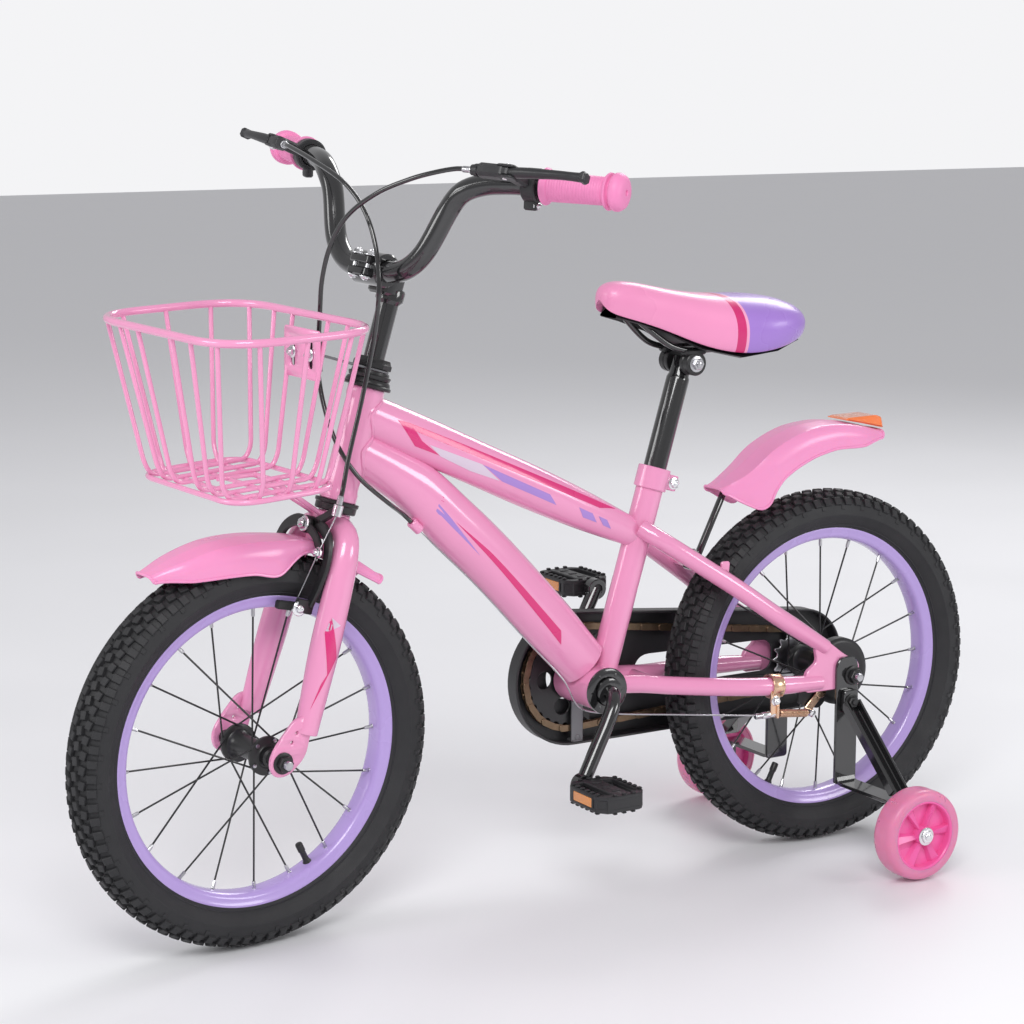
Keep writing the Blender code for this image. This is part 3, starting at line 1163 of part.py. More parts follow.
def build_cables(pivots):
    place, along = adjuster_end(-1)
    low = on_head(GAP, ARM_REAR + ARM_THICK / 2 - 1.5, 37)
    front = [place, place - along * 14, (594, -75, 780), (594.5, -18, 762.4), (592.5, 11.7, 742.4),
             (591, 29.6, 717.6), (591, 41, 686), (592, 44, 653.5), (592, 36.6, 613), (604, 33, 550), (621, 35, 492),
             low + HEAD_UP * 14, low]
    part("front_brake_cable", cable(front), BLACK_PLASTIC, pivots["steering"])
    place, along = adjuster_end(1)
    stop, run = Vector(CABLE_STOP), Vector(STOP_DIR)
    rear = [place, place - along * 14, (580, 121, 779.5), (593, 97.5, 771.7), (607, 61.7, 756.2), (616, 23, 731),
            (619.5, -1.2, 700), (621, -13.2, 666), (621.3, -16.5, 634), (622, -18, 600), (623.5, -16, 575),
            (624, -6, 545), (622, 10, 513), (615, 22, 490)]
    fixed = [(597, 27, 468), (567, 24, 443), stop - run * (STOP_HALF + 12), stop - run * (STOP_HALF + GAP)]
    rear += [before_steering(place) for place in fixed]
    part("rear_brake_cable_front", cable(rear), BLACK_PLASTIC, pivots["steering"])
    back = [stop + run * (STOP_HALF + GAP), stop + run * (STOP_HALF + 9), (503.5, 5, 391), (452, 5, 341.5),
            (392.7, 5, 278), (347, 10, 228), (333, 18, 199), (309, 24, 190.5), (216, 44, 180.5),
            Vector((BARREL_FRONT + GAP, BARREL_END[1], BARREL_END[2]))]
    part("rear_brake_cable_rear", cable(back, WIRE_R), BLACK_PLASTIC)


PIVOTS = build_pivots()
build_frame_parts()
build_steering(PIVOTS)
build_wheels(PIVOTS)
build_drive(PIVOTS)
build_stabilisers(PIVOTS)
build_mudguards(PIVOTS)
part("basket", build_basket(), PINK, PIVOTS["steering"])
part("basket_bracket", build_basket_bracket(), STEEL, PIVOTS["steering"])
build_front_brake(PIVOTS)
build_rear_brake(PIVOTS)
build_saddle(PIVOTS)
build_cables(PIVOTS)
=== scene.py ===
"""The looks of a child's BMX bicycle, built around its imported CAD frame.

Shapes are drawn in millimetres with x from the rear axle and turned into metres at the end.
Steered pieces are drawn straight ahead and turned about the head axis by STEER or BAR degrees.
"""
import math

import bmesh
import bpy
from mathutils import Matrix, Vector
from mathutils.geometry import interpolate_bezier, tessellate_polygon


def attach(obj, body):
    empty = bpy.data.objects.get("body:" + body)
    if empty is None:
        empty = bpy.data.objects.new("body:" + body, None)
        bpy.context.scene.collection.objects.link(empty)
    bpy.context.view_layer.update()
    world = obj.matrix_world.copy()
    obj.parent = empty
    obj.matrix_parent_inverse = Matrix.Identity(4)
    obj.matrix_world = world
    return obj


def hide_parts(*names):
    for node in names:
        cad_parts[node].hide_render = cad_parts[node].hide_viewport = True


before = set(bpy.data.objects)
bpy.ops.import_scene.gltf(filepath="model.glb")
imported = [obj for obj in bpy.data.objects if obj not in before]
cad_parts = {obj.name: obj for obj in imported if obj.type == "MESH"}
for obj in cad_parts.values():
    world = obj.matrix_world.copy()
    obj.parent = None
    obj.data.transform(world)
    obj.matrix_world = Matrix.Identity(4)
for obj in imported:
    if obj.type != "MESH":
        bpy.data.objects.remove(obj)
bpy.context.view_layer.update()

MM = 0.001
REAR_AXLE_X = -355.5
STEER, BAR = 6.0, 11.0
TUBE_LOW, TUBE_HIGH = 3.0, 119.7
SPOKES, TREAD_ROWS = 20, 84
CHAIN_Y, CHAIN_PITCH = -39, 12.7
FRONT_TEETH, REAR_TEETH = 28, 16
CRANK_TURN, CRANK_REACH, CRANK_END = -58, 102, 72
CABLE_R, WIRE_R = 2.4, 0.9
ROLLER_Z = 51.5
PAD_UP, PAD_FORWARD, ARM_THICK = -108.5, 35.5, 4.6
BARREL_END = (124.3, 64, 171.5)
X, Y, Z = Vector((1, 0, 0)), Vector((0, 1, 0)), Vector((0, 0, 1))
HEAD = Vector((611.3, 0, 442.3))
HEAD_UP = Vector((-math.cos(math.radians(73)), 0, math.sin(math.radians(73))))
HEAD_FORWARD = Vector((math.sin(math.radians(73)), 0, math.cos(math.radians(73))))
AXLE_Z = 202
FRONT_AXLE, REAR_AXLE = Vector((711, 0, AXLE_Z)), Vector((0, 0, AXLE_Z))
BB = Vector((309, 0, 217.3))
SEAT_LOW, SEAT_HIGH = Vector((295.2, 0, 217.3)), Vector((225.6, 0, 446.4))
SEAT_UP = (SEAT_HIGH - SEAT_LOW).normalized()
SIDES = ((1, "left"), (-1, "right"))


# Shapes
def on_head(up, forward=0.0, side=0.0):
    return HEAD + HEAD_UP * up + HEAD_FORWARD * forward + Y * side


def full_turn(count):
    return [2 * math.pi * i / count for i in range(count)]


def in_wheel(angle):
    """A direction in the plane of the wheels."""
    return Vector((math.cos(angle), 0, math.sin(angle)))


def on_side(points, side):
    """Places given for the left, on this side."""
    return [Vector((x, y * side, z)) for x, y, z in points]


def axes(centre, axis, across=None):
    """Local Z along axis and local X along across, at a place in mm."""
    up = Vector(axis).normalized()
    if across is None:
        across = X if abs(up.x) < 0.9 else Z
    side = (Vector(across) - up * up.dot(Vector(across))).normalized()
    matrix = Matrix((side, up.cross(side), up)).transposed().to_4x4()
    matrix.translation = Vector(centre)
    return matrix


def smooth_route(points, step):
    """Points about step mm apart on one smooth curve through the given points."""
    knots = [Vector(p) for p in points]
    ends = [2 * knots[0] - knots[1], *knots, 2 * knots[-1] - knots[-2]]
    slopes = [(c - a) / ((c - b).length + (b - a).length) for a, b, c in zip(ends, ends[1:], ends[2:])]
    route = [knots[0]]
    for a, b, leave, arrive in zip(knots, knots[1:], slopes, slopes[1:]):
        reach = (b - a).length
        count = max(1, round(reach / step))
        run = interpolate_bezier(a, a + leave * reach / 3, b - arrive * reach / 3, b, count + 1)
        route += run[1:]
    return route


def spread(values, count):
    """Numbers read evenly along a list, on a smooth curve through its entries."""
    result = []
    last = len(values) - 1
    for i in range(count):
        place = i / (count - 1) * last
        low = min(int(place), last - 1)
        t = place - low
        before, a, b, after = (values[min(max(low + k, 0), last)] for k in (-1, 0, 1, 2))
        bend = (2 * before - 5 * a + 4 * b - after) * t * t + (3 * a - before - 3 * b + after) * t ** 3
        result.append(a + ((b - before) * t + bend) / 2)
    return result


def rounded(corners, reach, steps=5):
    """An outline whose corners are cut back by reach mm and joined by a curve."""
    outline = []
    for before, corner, after in zip([corners[-1], *corners], corners, [*corners[1:], corners[0]]):
        corner = Vector(corner)
        to_before, to_after = Vector(before) - corner, Vector(after) - corner
        start = corner + to_before.normalized() * min(reach, to_before.length / 2.02)
        end = corner + to_after.normalized() * min(reach, to_after.length / 2.02)
        for i in range(steps + 1):
            t = i / steps
            outline.append(start * (1 - t) ** 2 + corner * 2 * t * (1 - t) + end * t * t)
    return [(p.x, p.y) for p in outline]


def circle(radius, steps=32, centre=(0, 0)):
    return [(centre[0] + radius * math.cos(a), centre[1] + radius * math.sin(a)) for a in full_turn(steps)]


def collar(bore, radius, half, ease, cut):
    """The profile of a ring that is 2 half long, with its outer edges cut by ease and cut."""
    return [(bore, -half), (radius - ease, -half), (radius, cut - half), (radius, half - cut),
            (radius - ease, half), (bore, half)]


def inset(outline, reach):
    """The outline moved inwards by reach mm; a negative reach moves it outwards."""
    area = sum(a[0] * b[1] - b[0] * a[1] for a, b in zip(outline, [*outline[1:], outline[0]]))
    turn = 1 if area > 0 else -1
    moved = []
    for before, point, after in zip([outline[-1], *outline], outline, [*outline[1:], outline[0]]):
        a = (Vector(point) - Vector(before)).normalized()
        b = (Vector(after) - Vector(point)).normalized()
        normal = Vector((-a.y - b.y, a.x + b.x))
        if normal.length < 1e-6:
            moved.append(tuple(point))
            continue
        normal.normalize()
        lift = reach / max(0.5, normal.dot(Vector((-a.y, a.x))))
        moved.append((point[0] + normal.x * lift * turn, point[1] + normal.y * lift * turn))
    return moved


class Form:
    """Closed shells in mm that become one piece."""

    def __init__(self):
        self.places, self.faces, self.slots = [], [], []

    def add(self, places, faces, slot=0):
        start = len(self.places)
        self.places += [Vector(p) for p in places]
        self.faces += [[start + i for i in face] for face in faces]
        self.slots += [slot] * len(faces)

    def rings(self, loops, slot=0, closed=False, caps=True):
        """A skin over loops of equally many places."""
        count = len(loops[0])
        faces = []
        for row in [*range(len(loops) - 1), *([-1] if closed else [])]:
            low, high = (row % len(loops)) * count, ((row + 1) % len(loops)) * count
            for i in range(count):
                j = (i + 1) % count
                faces.append((low + i, low + j, high + j, high + i))
        if caps and not closed:
            faces += [tuple(range(count)), tuple((len(loops) - 1) * count + i for i in range(count))]
        self.add([p for loop in loops for p in loop], faces, slot)

    def lathe(self, profile, centre, axis, steps=48, closed=False, slot=0):
        """A turned shape from (radius, height) pairs about axis."""
        matrix = axes(centre, axis)
        loops = [[matrix @ Vector((x, y, h)) for x, y in circle(max(r, 0.02), steps)] for r, h in profile]
        self.rings(loops, slot, closed)

    def rod(self, start, end, radius, steps=24, ease=0.5, slot=0):
        """A round bar with eased ends."""
        start, end = Vector(start), Vector(end)
        long = (end - start).length
        ease = min(ease, radius * 0.8, long / 2.1)
        profile = [(radius - ease, 0), (radius - ease * 0.3, ease * 0.3), (radius, ease), (radius, long - ease),
                   (radius - ease * 0.3, long - ease * 0.3), (radius - ease, long)]
        self.lathe(profile, start, end - start, steps, slot=slot)

    def sweep(self, points, radius, sides=20, flat=1.0, cyclic=False, ease=0.0, slot=0, tall=1.0, up=None):
        """A tube along points; flat scales it sideways and radius may be one number per point."""
        route = [Vector(p) for p in points]
        sizes = list(radius) if hasattr(radius, "__len__") else [radius] * len(route)
        if ease:
            for at_end in (False, True):
                if at_end:
                    route.reverse()
                    sizes.reverse()
                run = (route[1] - route[0]).normalized()
                size = sizes[0]
                route[:1] = [route[0], route[0] + run * ease * 0.3, route[0] + run * ease]
                sizes[:1] = [size - ease, size - ease * 0.3, size]
            route.reverse()
            sizes.reverse()
        count = len(route)
        side = None
        loops = []
        for i, point in enumerate(route):
            before = route[i - 1] if cyclic or i else point
            after = route[(i + 1) % count] if cyclic or i < count - 1 else point
            run = (after - before).normalized()
            if side is None:
                side = run.cross(up or (Z if abs(run.z) < 0.9 else X)).normalized()
            side = (side - run * side.dot(run)).normalized()
            over = side.cross(run)
            loop = []
            for k in range(sides):
                a = 2 * math.pi * k / sides
                offset = (side * math.cos(a) + over * math.sin(a) * tall) * sizes[i]
                offset.y *= flat
                loop.append(point + offset)
            loops.append(loop)
        self.rings(loops, slot, closed=cyclic)

    def slab(self, outlines, thick, matrix, bevel=0.5, slot=0):
        """A flat plate with eased edges; outlines after the first are its holes."""
        bevel = min(bevel, thick / 2.2)
        levels = ((-thick / 2, bevel), (-thick / 2 + bevel, 0), (thick / 2 - bevel, 0), (thick / 2, bevel))
        places, faces, flat, index = [], [], [], []
        for outline in outlines:
            inwards = -1 if places else 1
            count, start = len(outline), len(places)
            for height, back in levels:
                places += [matrix @ Vector((x, y, height)) for x, y in inset(outline, back * inwards)]
            for low in (start, start + count, start + 2 * count):
                for i in range(count):
                    j = (i + 1) % count
                    faces.append((low + i, low + j, low + count + j, low + count + i))
            flat.append([Vector((x, y, 0)) for x, y in inset(outline, bevel * inwards)])
            index += [(start + i, start + 3 * count + i) for i in range(count)]
        for triangle in tessellate_polygon(flat):
            faces += [[index[i][end] for i in triangle] for end in (0, 1)]
        self.add(places, faces, slot)

    def block(self, centre, size, axis=Z, across=X, corner=1.5, bevel=0.6, slot=0):
        """A block of size (along across, sideways, along axis) with rounded corners."""
        x, y = size[0] / 2, size[1] / 2
        outline = rounded([(-x, -y), (x, -y), (x, y), (-x, y)], corner, 3)
        self.slab([outline], size[2], axes(centre, axis, across), bevel, slot)

    def bolt(self, place, axis, radius, tall=4.0, slot=0, washer=True, dome=False):
        """A hexagon head, or a domed one, standing on place."""
        axis = Vector(axis).normalized()
        place = Vector(place)
        if washer:
            self.lathe([(0, 0), (radius * 1.35, 0), (radius * 1.35, 0.7), (radius * 1.2, 1.1), (0, 1.1)], place,
                       axis, 24, slot=slot)
        base = place + axis * (1.0 if washer else 0)
        if dome:
            rounds = [(radius * math.cos(a), tall * math.sin(a)) for a in (0, 0.3, 0.6, 0.9, 1.2, 1.45)]
            self.lathe([(0, 0), (radius, 0), *rounds, (radius * 0.42, tall), (radius * 0.4, tall * 0.5),
                        (0, tall * 0.5)], base, axis, 20, slot=slot)
            return
        self.slab([circle(radius, 6)], tall, axes(base + axis * tall / 2, axis), 0.5, slot)
        self.lathe([(0, 0), (radius * 0.52, 0), (radius * 0.5, 1.4), (radius * 0.35, 2.0), (0, 2.0)],
                   base + axis * tall, axis, 16, slot=slot)

    def grid(self, columns, rows, shape, thick, slot=0):
        """A shell from shape(u, v) with u, v from 0 to 1, made solid inwards by thick."""
        top = [[Vector(shape(i / columns, j / rows)) for j in range(rows + 1)] for i in range(columns + 1)]
        low = []
        for i in range(columns + 1):
            line = []
            for j in range(rows + 1):
                along = top[min(i + 1, columns)][j] - top[max(i - 1, 0)][j]
                over = top[i][min(j + 1, rows)] - top[i][max(j - 1, 0)]
                line.append(top[i][j] - along.cross(over).normalized() * thick)
            low.append(line)
        self.rings([outside + inside[::-1] for outside, inside in zip(top, low)], slot)

    def piece(self, name, body, paints, *replaced, turn=0.0, slot=None, sharp=34):
        """Makes the object, in metres, riding on its body."""
        spin = Matrix.Translation(HEAD) @ Matrix.Rotation(math.radians(turn), 4, HEAD_UP)
        spin = spin @ Matrix.Translation(-HEAD)
        to_metres = Matrix.Scale(MM, 4) @ Matrix.Translation(Vector((REAR_AXLE_X, 0, 0)))
        mesh = bpy.data.meshes.new(name)
        mesh.from_pydata([(to_metres @ spin @ p)[:] for p in self.places], [], self.faces)
        for paint in paints if isinstance(paints, list) else [paints]:
            mesh.materials.append(paint)
        mesh.polygons.foreach_set("material_index", self.slots)
        form = bmesh.new()
        form.from_mesh(mesh)
        bmesh.ops.recalc_face_normals(form, faces=form.faces)
        form.to_mesh(mesh)
        form.free()
        mesh.shade_smooth()
        mesh.set_sharp_from_angle(angle=math.radians(sharp))
        made = bpy.data.objects.new(name, mesh)
        bpy.context.scene.collection.objects.link(made)
        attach(made, body)
        if replaced:
            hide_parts(*replaced)
        return made


# Materials
def finish(name, colour, roughness, metallic=0.0, coat=0.0, grain=(900.0, 0.02), blotch=0.06, size=14.0,
           smudge=0.05, **extra):
    """A surface with slow colour and gloss variation and a fine grain in its bump."""
    paint = bpy.data.materials.new(name)
    paint.use_nodes = True
    nodes, links = paint.node_tree.nodes, paint.node_tree.links
    shader = nodes["Principled BSDF"]
    shader.inputs["Metallic"].default_value = metallic
    shader.inputs["Coat Weight"].default_value = coat
    shader.inputs["Coat Roughness"].default_value = 0.06
    for key, value in extra.items():
        shader.inputs[key.replace("_", " ")].default_value = value
    place = nodes.new("ShaderNodeTexCoord")
    slow = nodes.new("ShaderNodeTexNoise")
    slow.inputs["Scale"].default_value = size
    slow.inputs["Detail"].default_value = 4
    links.new(place.outputs["Object"], slow.inputs["Vector"])
    tint = nodes.new("ShaderNodeMix")
    tint.data_type = "RGBA"
    tint.inputs["A"].default_value = (*[c * (1 - blotch) for c in colour], 1)
    tint.inputs["B"].default_value = (*[min(c * (1 + blotch), 1) for c in colour], 1)
    links.new(slow.outputs["Fac"], tint.inputs["Factor"])
    links.new(tint.outputs["Result"], shader.inputs["Base Color"])
    gloss = nodes.new("ShaderNodeMapRange")
    gloss.inputs["From Min"].default_value = 0.35
    gloss.inputs["From Max"].default_value = 0.7
    gloss.inputs["To Min"].default_value = max(roughness - smudge, 0.03)
    gloss.inputs["To Max"].default_value = roughness + smudge
    links.new(slow.outputs["Fac"], gloss.inputs["Value"])
    links.new(gloss.outputs["Result"], shader.inputs["Roughness"])
    fine = nodes.new("ShaderNodeTexNoise")
    fine.inputs["Scale"].default_value = grain[0]
    fine.inputs["Detail"].default_value = 2
    links.new(place.outputs["Object"], fine.inputs["Vector"])
    bump = nodes.new("ShaderNodeBump")
    bump.inputs["Strength"].default_value = grain[1]
    bump.inputs["Distance"].default_value = 0.001
    links.new(fine.outputs["Fac"], bump.inputs["Height"])
    links.new(bump.outputs["Normal"], shader.inputs["Normal"])
    return paint


PINK = finish("pink_enamel", (0.83, 0.31, 0.53), 0.22, coat=0.8, grain=(420, 0.03), blotch=0.03)
PURPLE = finish("purple_enamel", (0.46, 0.33, 0.70), 0.26, coat=0.6, grain=(420, 0.03), blotch=0.03)
BLACK = finish("black_enamel", (0.011, 0.011, 0.012), 0.14, coat=0.9, grain=(420, 0.03), blotch=0.1)
SATIN = finish("black_satin", (0.017, 0.017, 0.018), 0.36, grain=(700, 0.05), blotch=0.12)
PLASTIC = finish("black_plastic", (0.02, 0.02, 0.022), 0.42, grain=(1400, 0.12), blotch=0.1)
TYRE = finish("tyre_rubber", (0.017, 0.017, 0.019), 0.62, grain=(1100, 0.35), blotch=0.25, size=30, smudge=0.1)
RUBBER = finish("pad_rubber", (0.02, 0.02, 0.02), 0.7, grain=(1100, 0.3), blotch=0.2)
CHROME = finish("bright_zinc", (0.78, 0.78, 0.8), 0.16, metallic=1.0, grain=(500, 0.06), blotch=0.08, size=60)
STEEL = finish("plain_steel", (0.5, 0.5, 0.52), 0.3, metallic=1.0, grain=(900, 0.12), blotch=0.12, size=60)
GREY = finish("grey_steel", (0.18, 0.18, 0.19), 0.4, metallic=0.5, grain=(800, 0.1), blotch=0.1)
COPPER = finish("passivated_zinc", (0.78, 0.52, 0.36), 0.26, metallic=1.0, grain=(600, 0.12), blotch=0.16, size=70)
CHAIN = finish("oiled_chain", (0.2, 0.14, 0.09), 0.36, metallic=0.9, grain=(900, 0.15), blotch=0.4, size=90)
GUARD = finish("pink_shell", (0.87, 0.31, 0.56), 0.24, grain=(900, 0.04), blotch=0.03, Subsurface_Weight=0.08,
               Subsurface_Scale=0.004)
GRIP = finish("pink_grip", (0.84, 0.25, 0.5), 0.46, grain=(1500, 0.15), blotch=0.05)
HUB_PINK = finish("pink_hub", (0.86, 0.13, 0.4), 0.3, grain=(900, 0.05), blotch=0.04)
SOFT_PINK = finish("clear_pink", (0.92, 0.3, 0.52), 0.32, grain=(900, 0.12), blotch=0.08, size=60,
                   Transmission_Weight=0.25, Subsurface_Weight=0.3, Subsurface_Scale=0.01)
MAGENTA = finish("magenta_film", (0.68, 0.02, 0.18), 0.28, coat=0.5, grain=(420, 0.03), blotch=0.04)
LILAC = finish("lilac_film", (0.38, 0.22, 0.62), 0.28, coat=0.5, grain=(420, 0.03), blotch=0.04)
SILVER = finish("silver_film", (0.72, 0.6, 0.72), 0.3, metallic=0.4, coat=0.4, grain=(420, 0.03), blotch=0.04)
AMBER = finish("amber_lens", (0.72, 0.26, 0.05), 0.2, coat=0.8, grain=(1800, 0.5), blotch=0.12, size=120)
ORANGE = finish("orange_lens", (0.9, 0.19, 0.03), 0.18, coat=1.0, grain=(1600, 0.3), blotch=0.06, size=120)


SADDLE_SLANT, SADDLE_BAND = 0.05, 0.225


def saddle_cover():
    """Vinyl in two colours, parted by a slanted magenta band with a thin pink line behind it."""
    paint = finish("saddle_vinyl", (0.86, 0.3, 0.53), 0.3, coat=0.25, grain=(2600, 0.16), blotch=0.03)
    nodes, links = paint.node_tree.nodes, paint.node_tree.links
    shader = nodes["Principled BSDF"]
    last = shader.inputs["Base Color"].links[0].from_socket
    place = nodes.new("ShaderNodeTexCoord")
    across = nodes.new("ShaderNodeVectorMath")
    across.operation = "DOT_PRODUCT"
    across.inputs[1].default_value = (-1.0, 0.0, SADDLE_SLANT)
    links.new(place.outputs["Object"], across.inputs[0])
    for start, colour in ((0.0, (0.62, 0.02, 0.16)), (0.0095, (0.86, 0.36, 0.56)), (0.0125, (0.36, 0.2, 0.62))):
        test = nodes.new("ShaderNodeMath")
        test.operation = "GREATER_THAN"
        test.inputs[1].default_value = SADDLE_BAND + start
        links.new(across.outputs["Value"], test.inputs[0])
        mix = nodes.new("ShaderNodeMix")
        mix.data_type = "RGBA"
        mix.inputs["B"].default_value = (*colour, 1)
        links.new(test.outputs[0], mix.inputs["Factor"])
        links.new(last, mix.inputs["A"])
        last = mix.outputs["Result"]
    links.new(last, shader.inputs["Base Color"])
    return paint


# Wheels
def knob(form, axle, turn, y, r, tilt, long, wide, tall, twist=0.0):
    """One tapered block of tread standing on the tyre; tilt leans it out to the side."""
    out, along = in_wheel(turn), Vector((-math.sin(turn), 0, math.cos(turn)))
    up = (out * math.cos(tilt) + Y * math.sin(tilt)).normalized()
    over = up.cross(along)
    along, over = (along * math.cos(twist) + over * math.sin(twist),
                   over * math.cos(twist) - along * math.sin(twist))
    base = axle + out * r + Y * y
    form.rings([[base + up * height + along * (a * long / 2 * scale) + over * (b * wide / 2 * scale)
                 for a, b in ((-1, -1), (1, -1), (1, 1), (-1, 1))]
                for height, scale in ((-2.5, 1.12), (tall - 0.7, 0.98), (tall, 0.82))])


def build_tyre(word, axle, body, turn):
    form = Form()
    half = [(157.2, 8.5), (157.6, 13.2), (160.0, 15.2), (162.0, 16.6), (162.6, 18.0), (163.6, 18.0), (164.4, 18.8),
            (169, 22.6), (174, 25.2), (175, 26.2), (176.4, 26.3), (177.4, 25.9), (182, 25.9), (188, 24.2),
            (192.6, 20.0), (195.6, 14.0), (197.4, 7.0), (197.8, 0)]
    profile = half + [(r, -y) for r, y in reversed(half[:-1])]
    profile += [(170, -12), (170, 12)]
    form.lathe(profile, axle, Y, 180, closed=True)
    step = math.pi / TREAD_ROWS
    for i, a in enumerate(full_turn(TREAD_ROWS)):
        for side in (1, -1):
            shift = step if side > 0 else 0
            knob(form, axle, a + shift, side * 5.0, 197.2, side * 0.1, 9.0, 7.4, 4.4, side * 0.22)
            knob(form, axle, a + shift + step, side * 13.6, 194.6, side * 0.5, 8.6, 6.6, 4.8, -side * 0.2)
            knob(form, axle, a + shift, side * 20.6, 189.4, side * 0.95, 8.2, 9.4, 4.6)
            if i % 2:
                knob(form, axle, a + shift + step, side * 24.2, 184.0, side * 1.25, 5.4, 5.4, 1.9)
    form.piece(word + "_tyre_tread", body, TYRE, word + "_tyre", turn=turn, slot="black_tyre", sharp=25)


def spoke_ends(axle, i):
    """The hole and the rim end of one spoke, as the frame has them."""
    turn = 2 * math.pi * i / SPOKES
    side = 1 if i % 2 else -1
    lead = 1 if (i // 2) % 2 else -1
    start = turn + lead * math.radians(64)
    hole = axle + in_wheel(start) * 17 + Y * (side * 27 + lead * 1.6)
    return hole, axle + in_wheel(turn) * 146 + Y * side * 2.5


def build_rim(word, axle, body, turn, valve_turn):
    form = Form()
    half = [(157.4, 12.4), (159.3, 12.7), (160.2, 13.4), (160.0, 14.4), (159.0, 14.9), (157.2, 14.7), (156.4, 14.1),
            (151.6, 13.4), (149.0, 12.3), (147.3, 10.6), (146.3, 8.2), (145.8, 5), (145.6, 0)]
    profile = half + [(r, -y) for r, y in reversed(half[:-1])] + [(149.6, -9), (149.6, 9)]
    form.lathe(profile, axle, Y, 180, closed=True)
    form.piece(word + "_rim_hoop", body, PURPLE, word + "_rim", turn=turn, slot="purple_paint", sharp=50)
    valve = Form()
    out = in_wheel(valve_turn)
    profile = [(5.2, 0), (4.6, 2.0), (3.6, 3.6), (3.3, 5), (3.2, 14), (3.4, 14.4), (3.4, 15.2), (3.9, 15.6),
               (3.9, 23.5), (3.5, 24.6), (2.2, 25.2), (0, 25.2)]
    valve.lathe(profile, axle + out * 147, -out, 20)
    valve.piece(word + "_valve", body, SATIN, turn=turn, slot="black_rubber")


def build_hub(word, axle, body, turn, left, right, drum):
    form = Form()
    shell = [(5.2, left), (11.2, left), (12.2, left - 1), (12.2, 30.6), (14, 29.6), (19, 29.2), (20, 28.6),
             (20, 25.6), (19, 25), (15, 24.4), (12.6, 22), (11.6, 17), (11.2, 8)]
    if drum:
        shell[:4] = [(5.2, left), (31.6, left), (33, left - 1), (33, 32.6), (31.8, 31.6), (12.2, 31.6),
                     (12.2, 30.6)]
    other = [(11.2, -8), (11.6, -17), (12.6, -22), (15, -24.4), (19, -25), (20, -25.6), (20, -28.6), (19, -29.2),
             (14, -29.6), (12.2, -30.6), (12.2, right + 1), (11.2, right), (5.2, right)]
    form.lathe(shell + other, axle, Y, 48, closed=True)
    for i in range(SPOKES):
        hole, end = spoke_ends(axle, i)
        run = (end - hole).normalized()
        form.sweep([hole - run * 1.2, hole + run * 3, end - run * 7], 1.0, 8)
        form.lathe([(1.0, 0), (1.7, 0.6), (1.9, 2), (1.9, 8.4), (2.6, 9.2), (0, 9.4)], end - run * 9.2, run, 10,
                   slot=1)
        form.lathe([(0, 0), (2.2, 0), (1.8, 0.9), (0, 1.1)], hole + Y * math.copysign(1.7, hole.y), Y * hole.y, 10,
                   slot=1)
    form.piece(word + "_hub_spokes", body, [SATIN, STEEL], word + "_hub", turn=turn, slot="black_paint")


def build_axle(word, axle, body, turn, cones, nuts, reach):
    form = Form()
    form.rod(axle - Y * reach, axle + Y * reach, 4.6, 24, 0.8, slot=1)
    for side in (1, -1):
        for start, end in cones:
            form.lathe([(4.7, start), (9, start), (9.6, start + 1), (9.6, start + 5), (7.4, start + 6.5),
                        (7.4, end), (4.7, end)], axle, Y * side, 32, closed=True)
        for start, end in nuts:
            place = axle + Y * side * start
            form.lathe([(4.7, 0), (11, 0), (11, 1.4), (10.4, 1.8), (4.7, 1.8)], place, Y * side, 32, closed=True)
            form.slab([circle(8.6, 6)], end - start - 1.8,
                      axes(place + Y * side * ((end - start) / 2 + 0.9), Y * side), 0.8)
    form.piece(word + "_axle_nuts", body, [SATIN, STEEL], word + "_axle", turn=turn, slot="steel")


def build_wheels():
    for word, axle, body, turn, valve in (("front", FRONT_AXLE, "front_wheel", STEER, -116.5),
                                          ("rear", REAR_AXLE, "rear_wheel", 0, -63.0)):
        build_tyre(word, axle, body, turn)
        build_rim(word, axle, body, turn, math.radians(valve))
    build_hub("front", FRONT_AXLE, "front_wheel", STEER, 31, -31, False)
    build_hub("rear", REAR_AXLE, "rear_wheel", 0, 41, -43, True)
    build_axle("front", FRONT_AXLE, "steering", STEER, [(31.4, 52.7)], [(58.2, 66)], 71)
    build_axle("rear", REAR_AXLE, "frame", 0, [(43.5, 55.1)], [(66.1, 75)], 80)


# Stickers
def patch(corners, step=3.0):
    """A convex outline filled with small faces, as flat points and faces."""
    form = bmesh.new()
    form.faces.new([form.verts.new((x, y, 0)) for x, y in corners])
    for values, normal in zip(zip(*corners), (X, Y)):
        low, high = min(values), max(values)
        count = int((high - low) / step)
        for i in range(1, count + 1):
            place = normal * (low + (high - low) * i / (count + 1))
            geometry = form.verts[:] + form.edges[:] + form.faces[:]
            bmesh.ops.bisect_plane(form, geom=geometry, plane_co=place, plane_no=normal)
    bmesh.ops.remove_doubles(form, verts=form.verts, dist=0.01)
    form.verts.index_update()
    points = [(v.co.x, v.co.y) for v in form.verts]
    faces = [[v.index for v in f.verts] for f in form.faces]
    rims = [[v.index for v in e.verts] for e in form.edges if len(e.link_faces) == 1]
    form.free()
    return points, faces, rims


def sticker(form, corners, place, slot=0, thick=0.22):
    """A thin film on a tube; place(u, v, lift) gives the surface at distance u and height v."""
    points, faces, rims = patch(corners)
    count = len(points)
    high = [place(u, v, thick) for u, v in points]
    low = [place(u, v, -0.3) for u, v in points]
    walls = [(a, b, b + count, a + count) for a, b in rims]
    form.add(high + low, faces + [[i + count for i in face] for face in faces] + walls, slot)


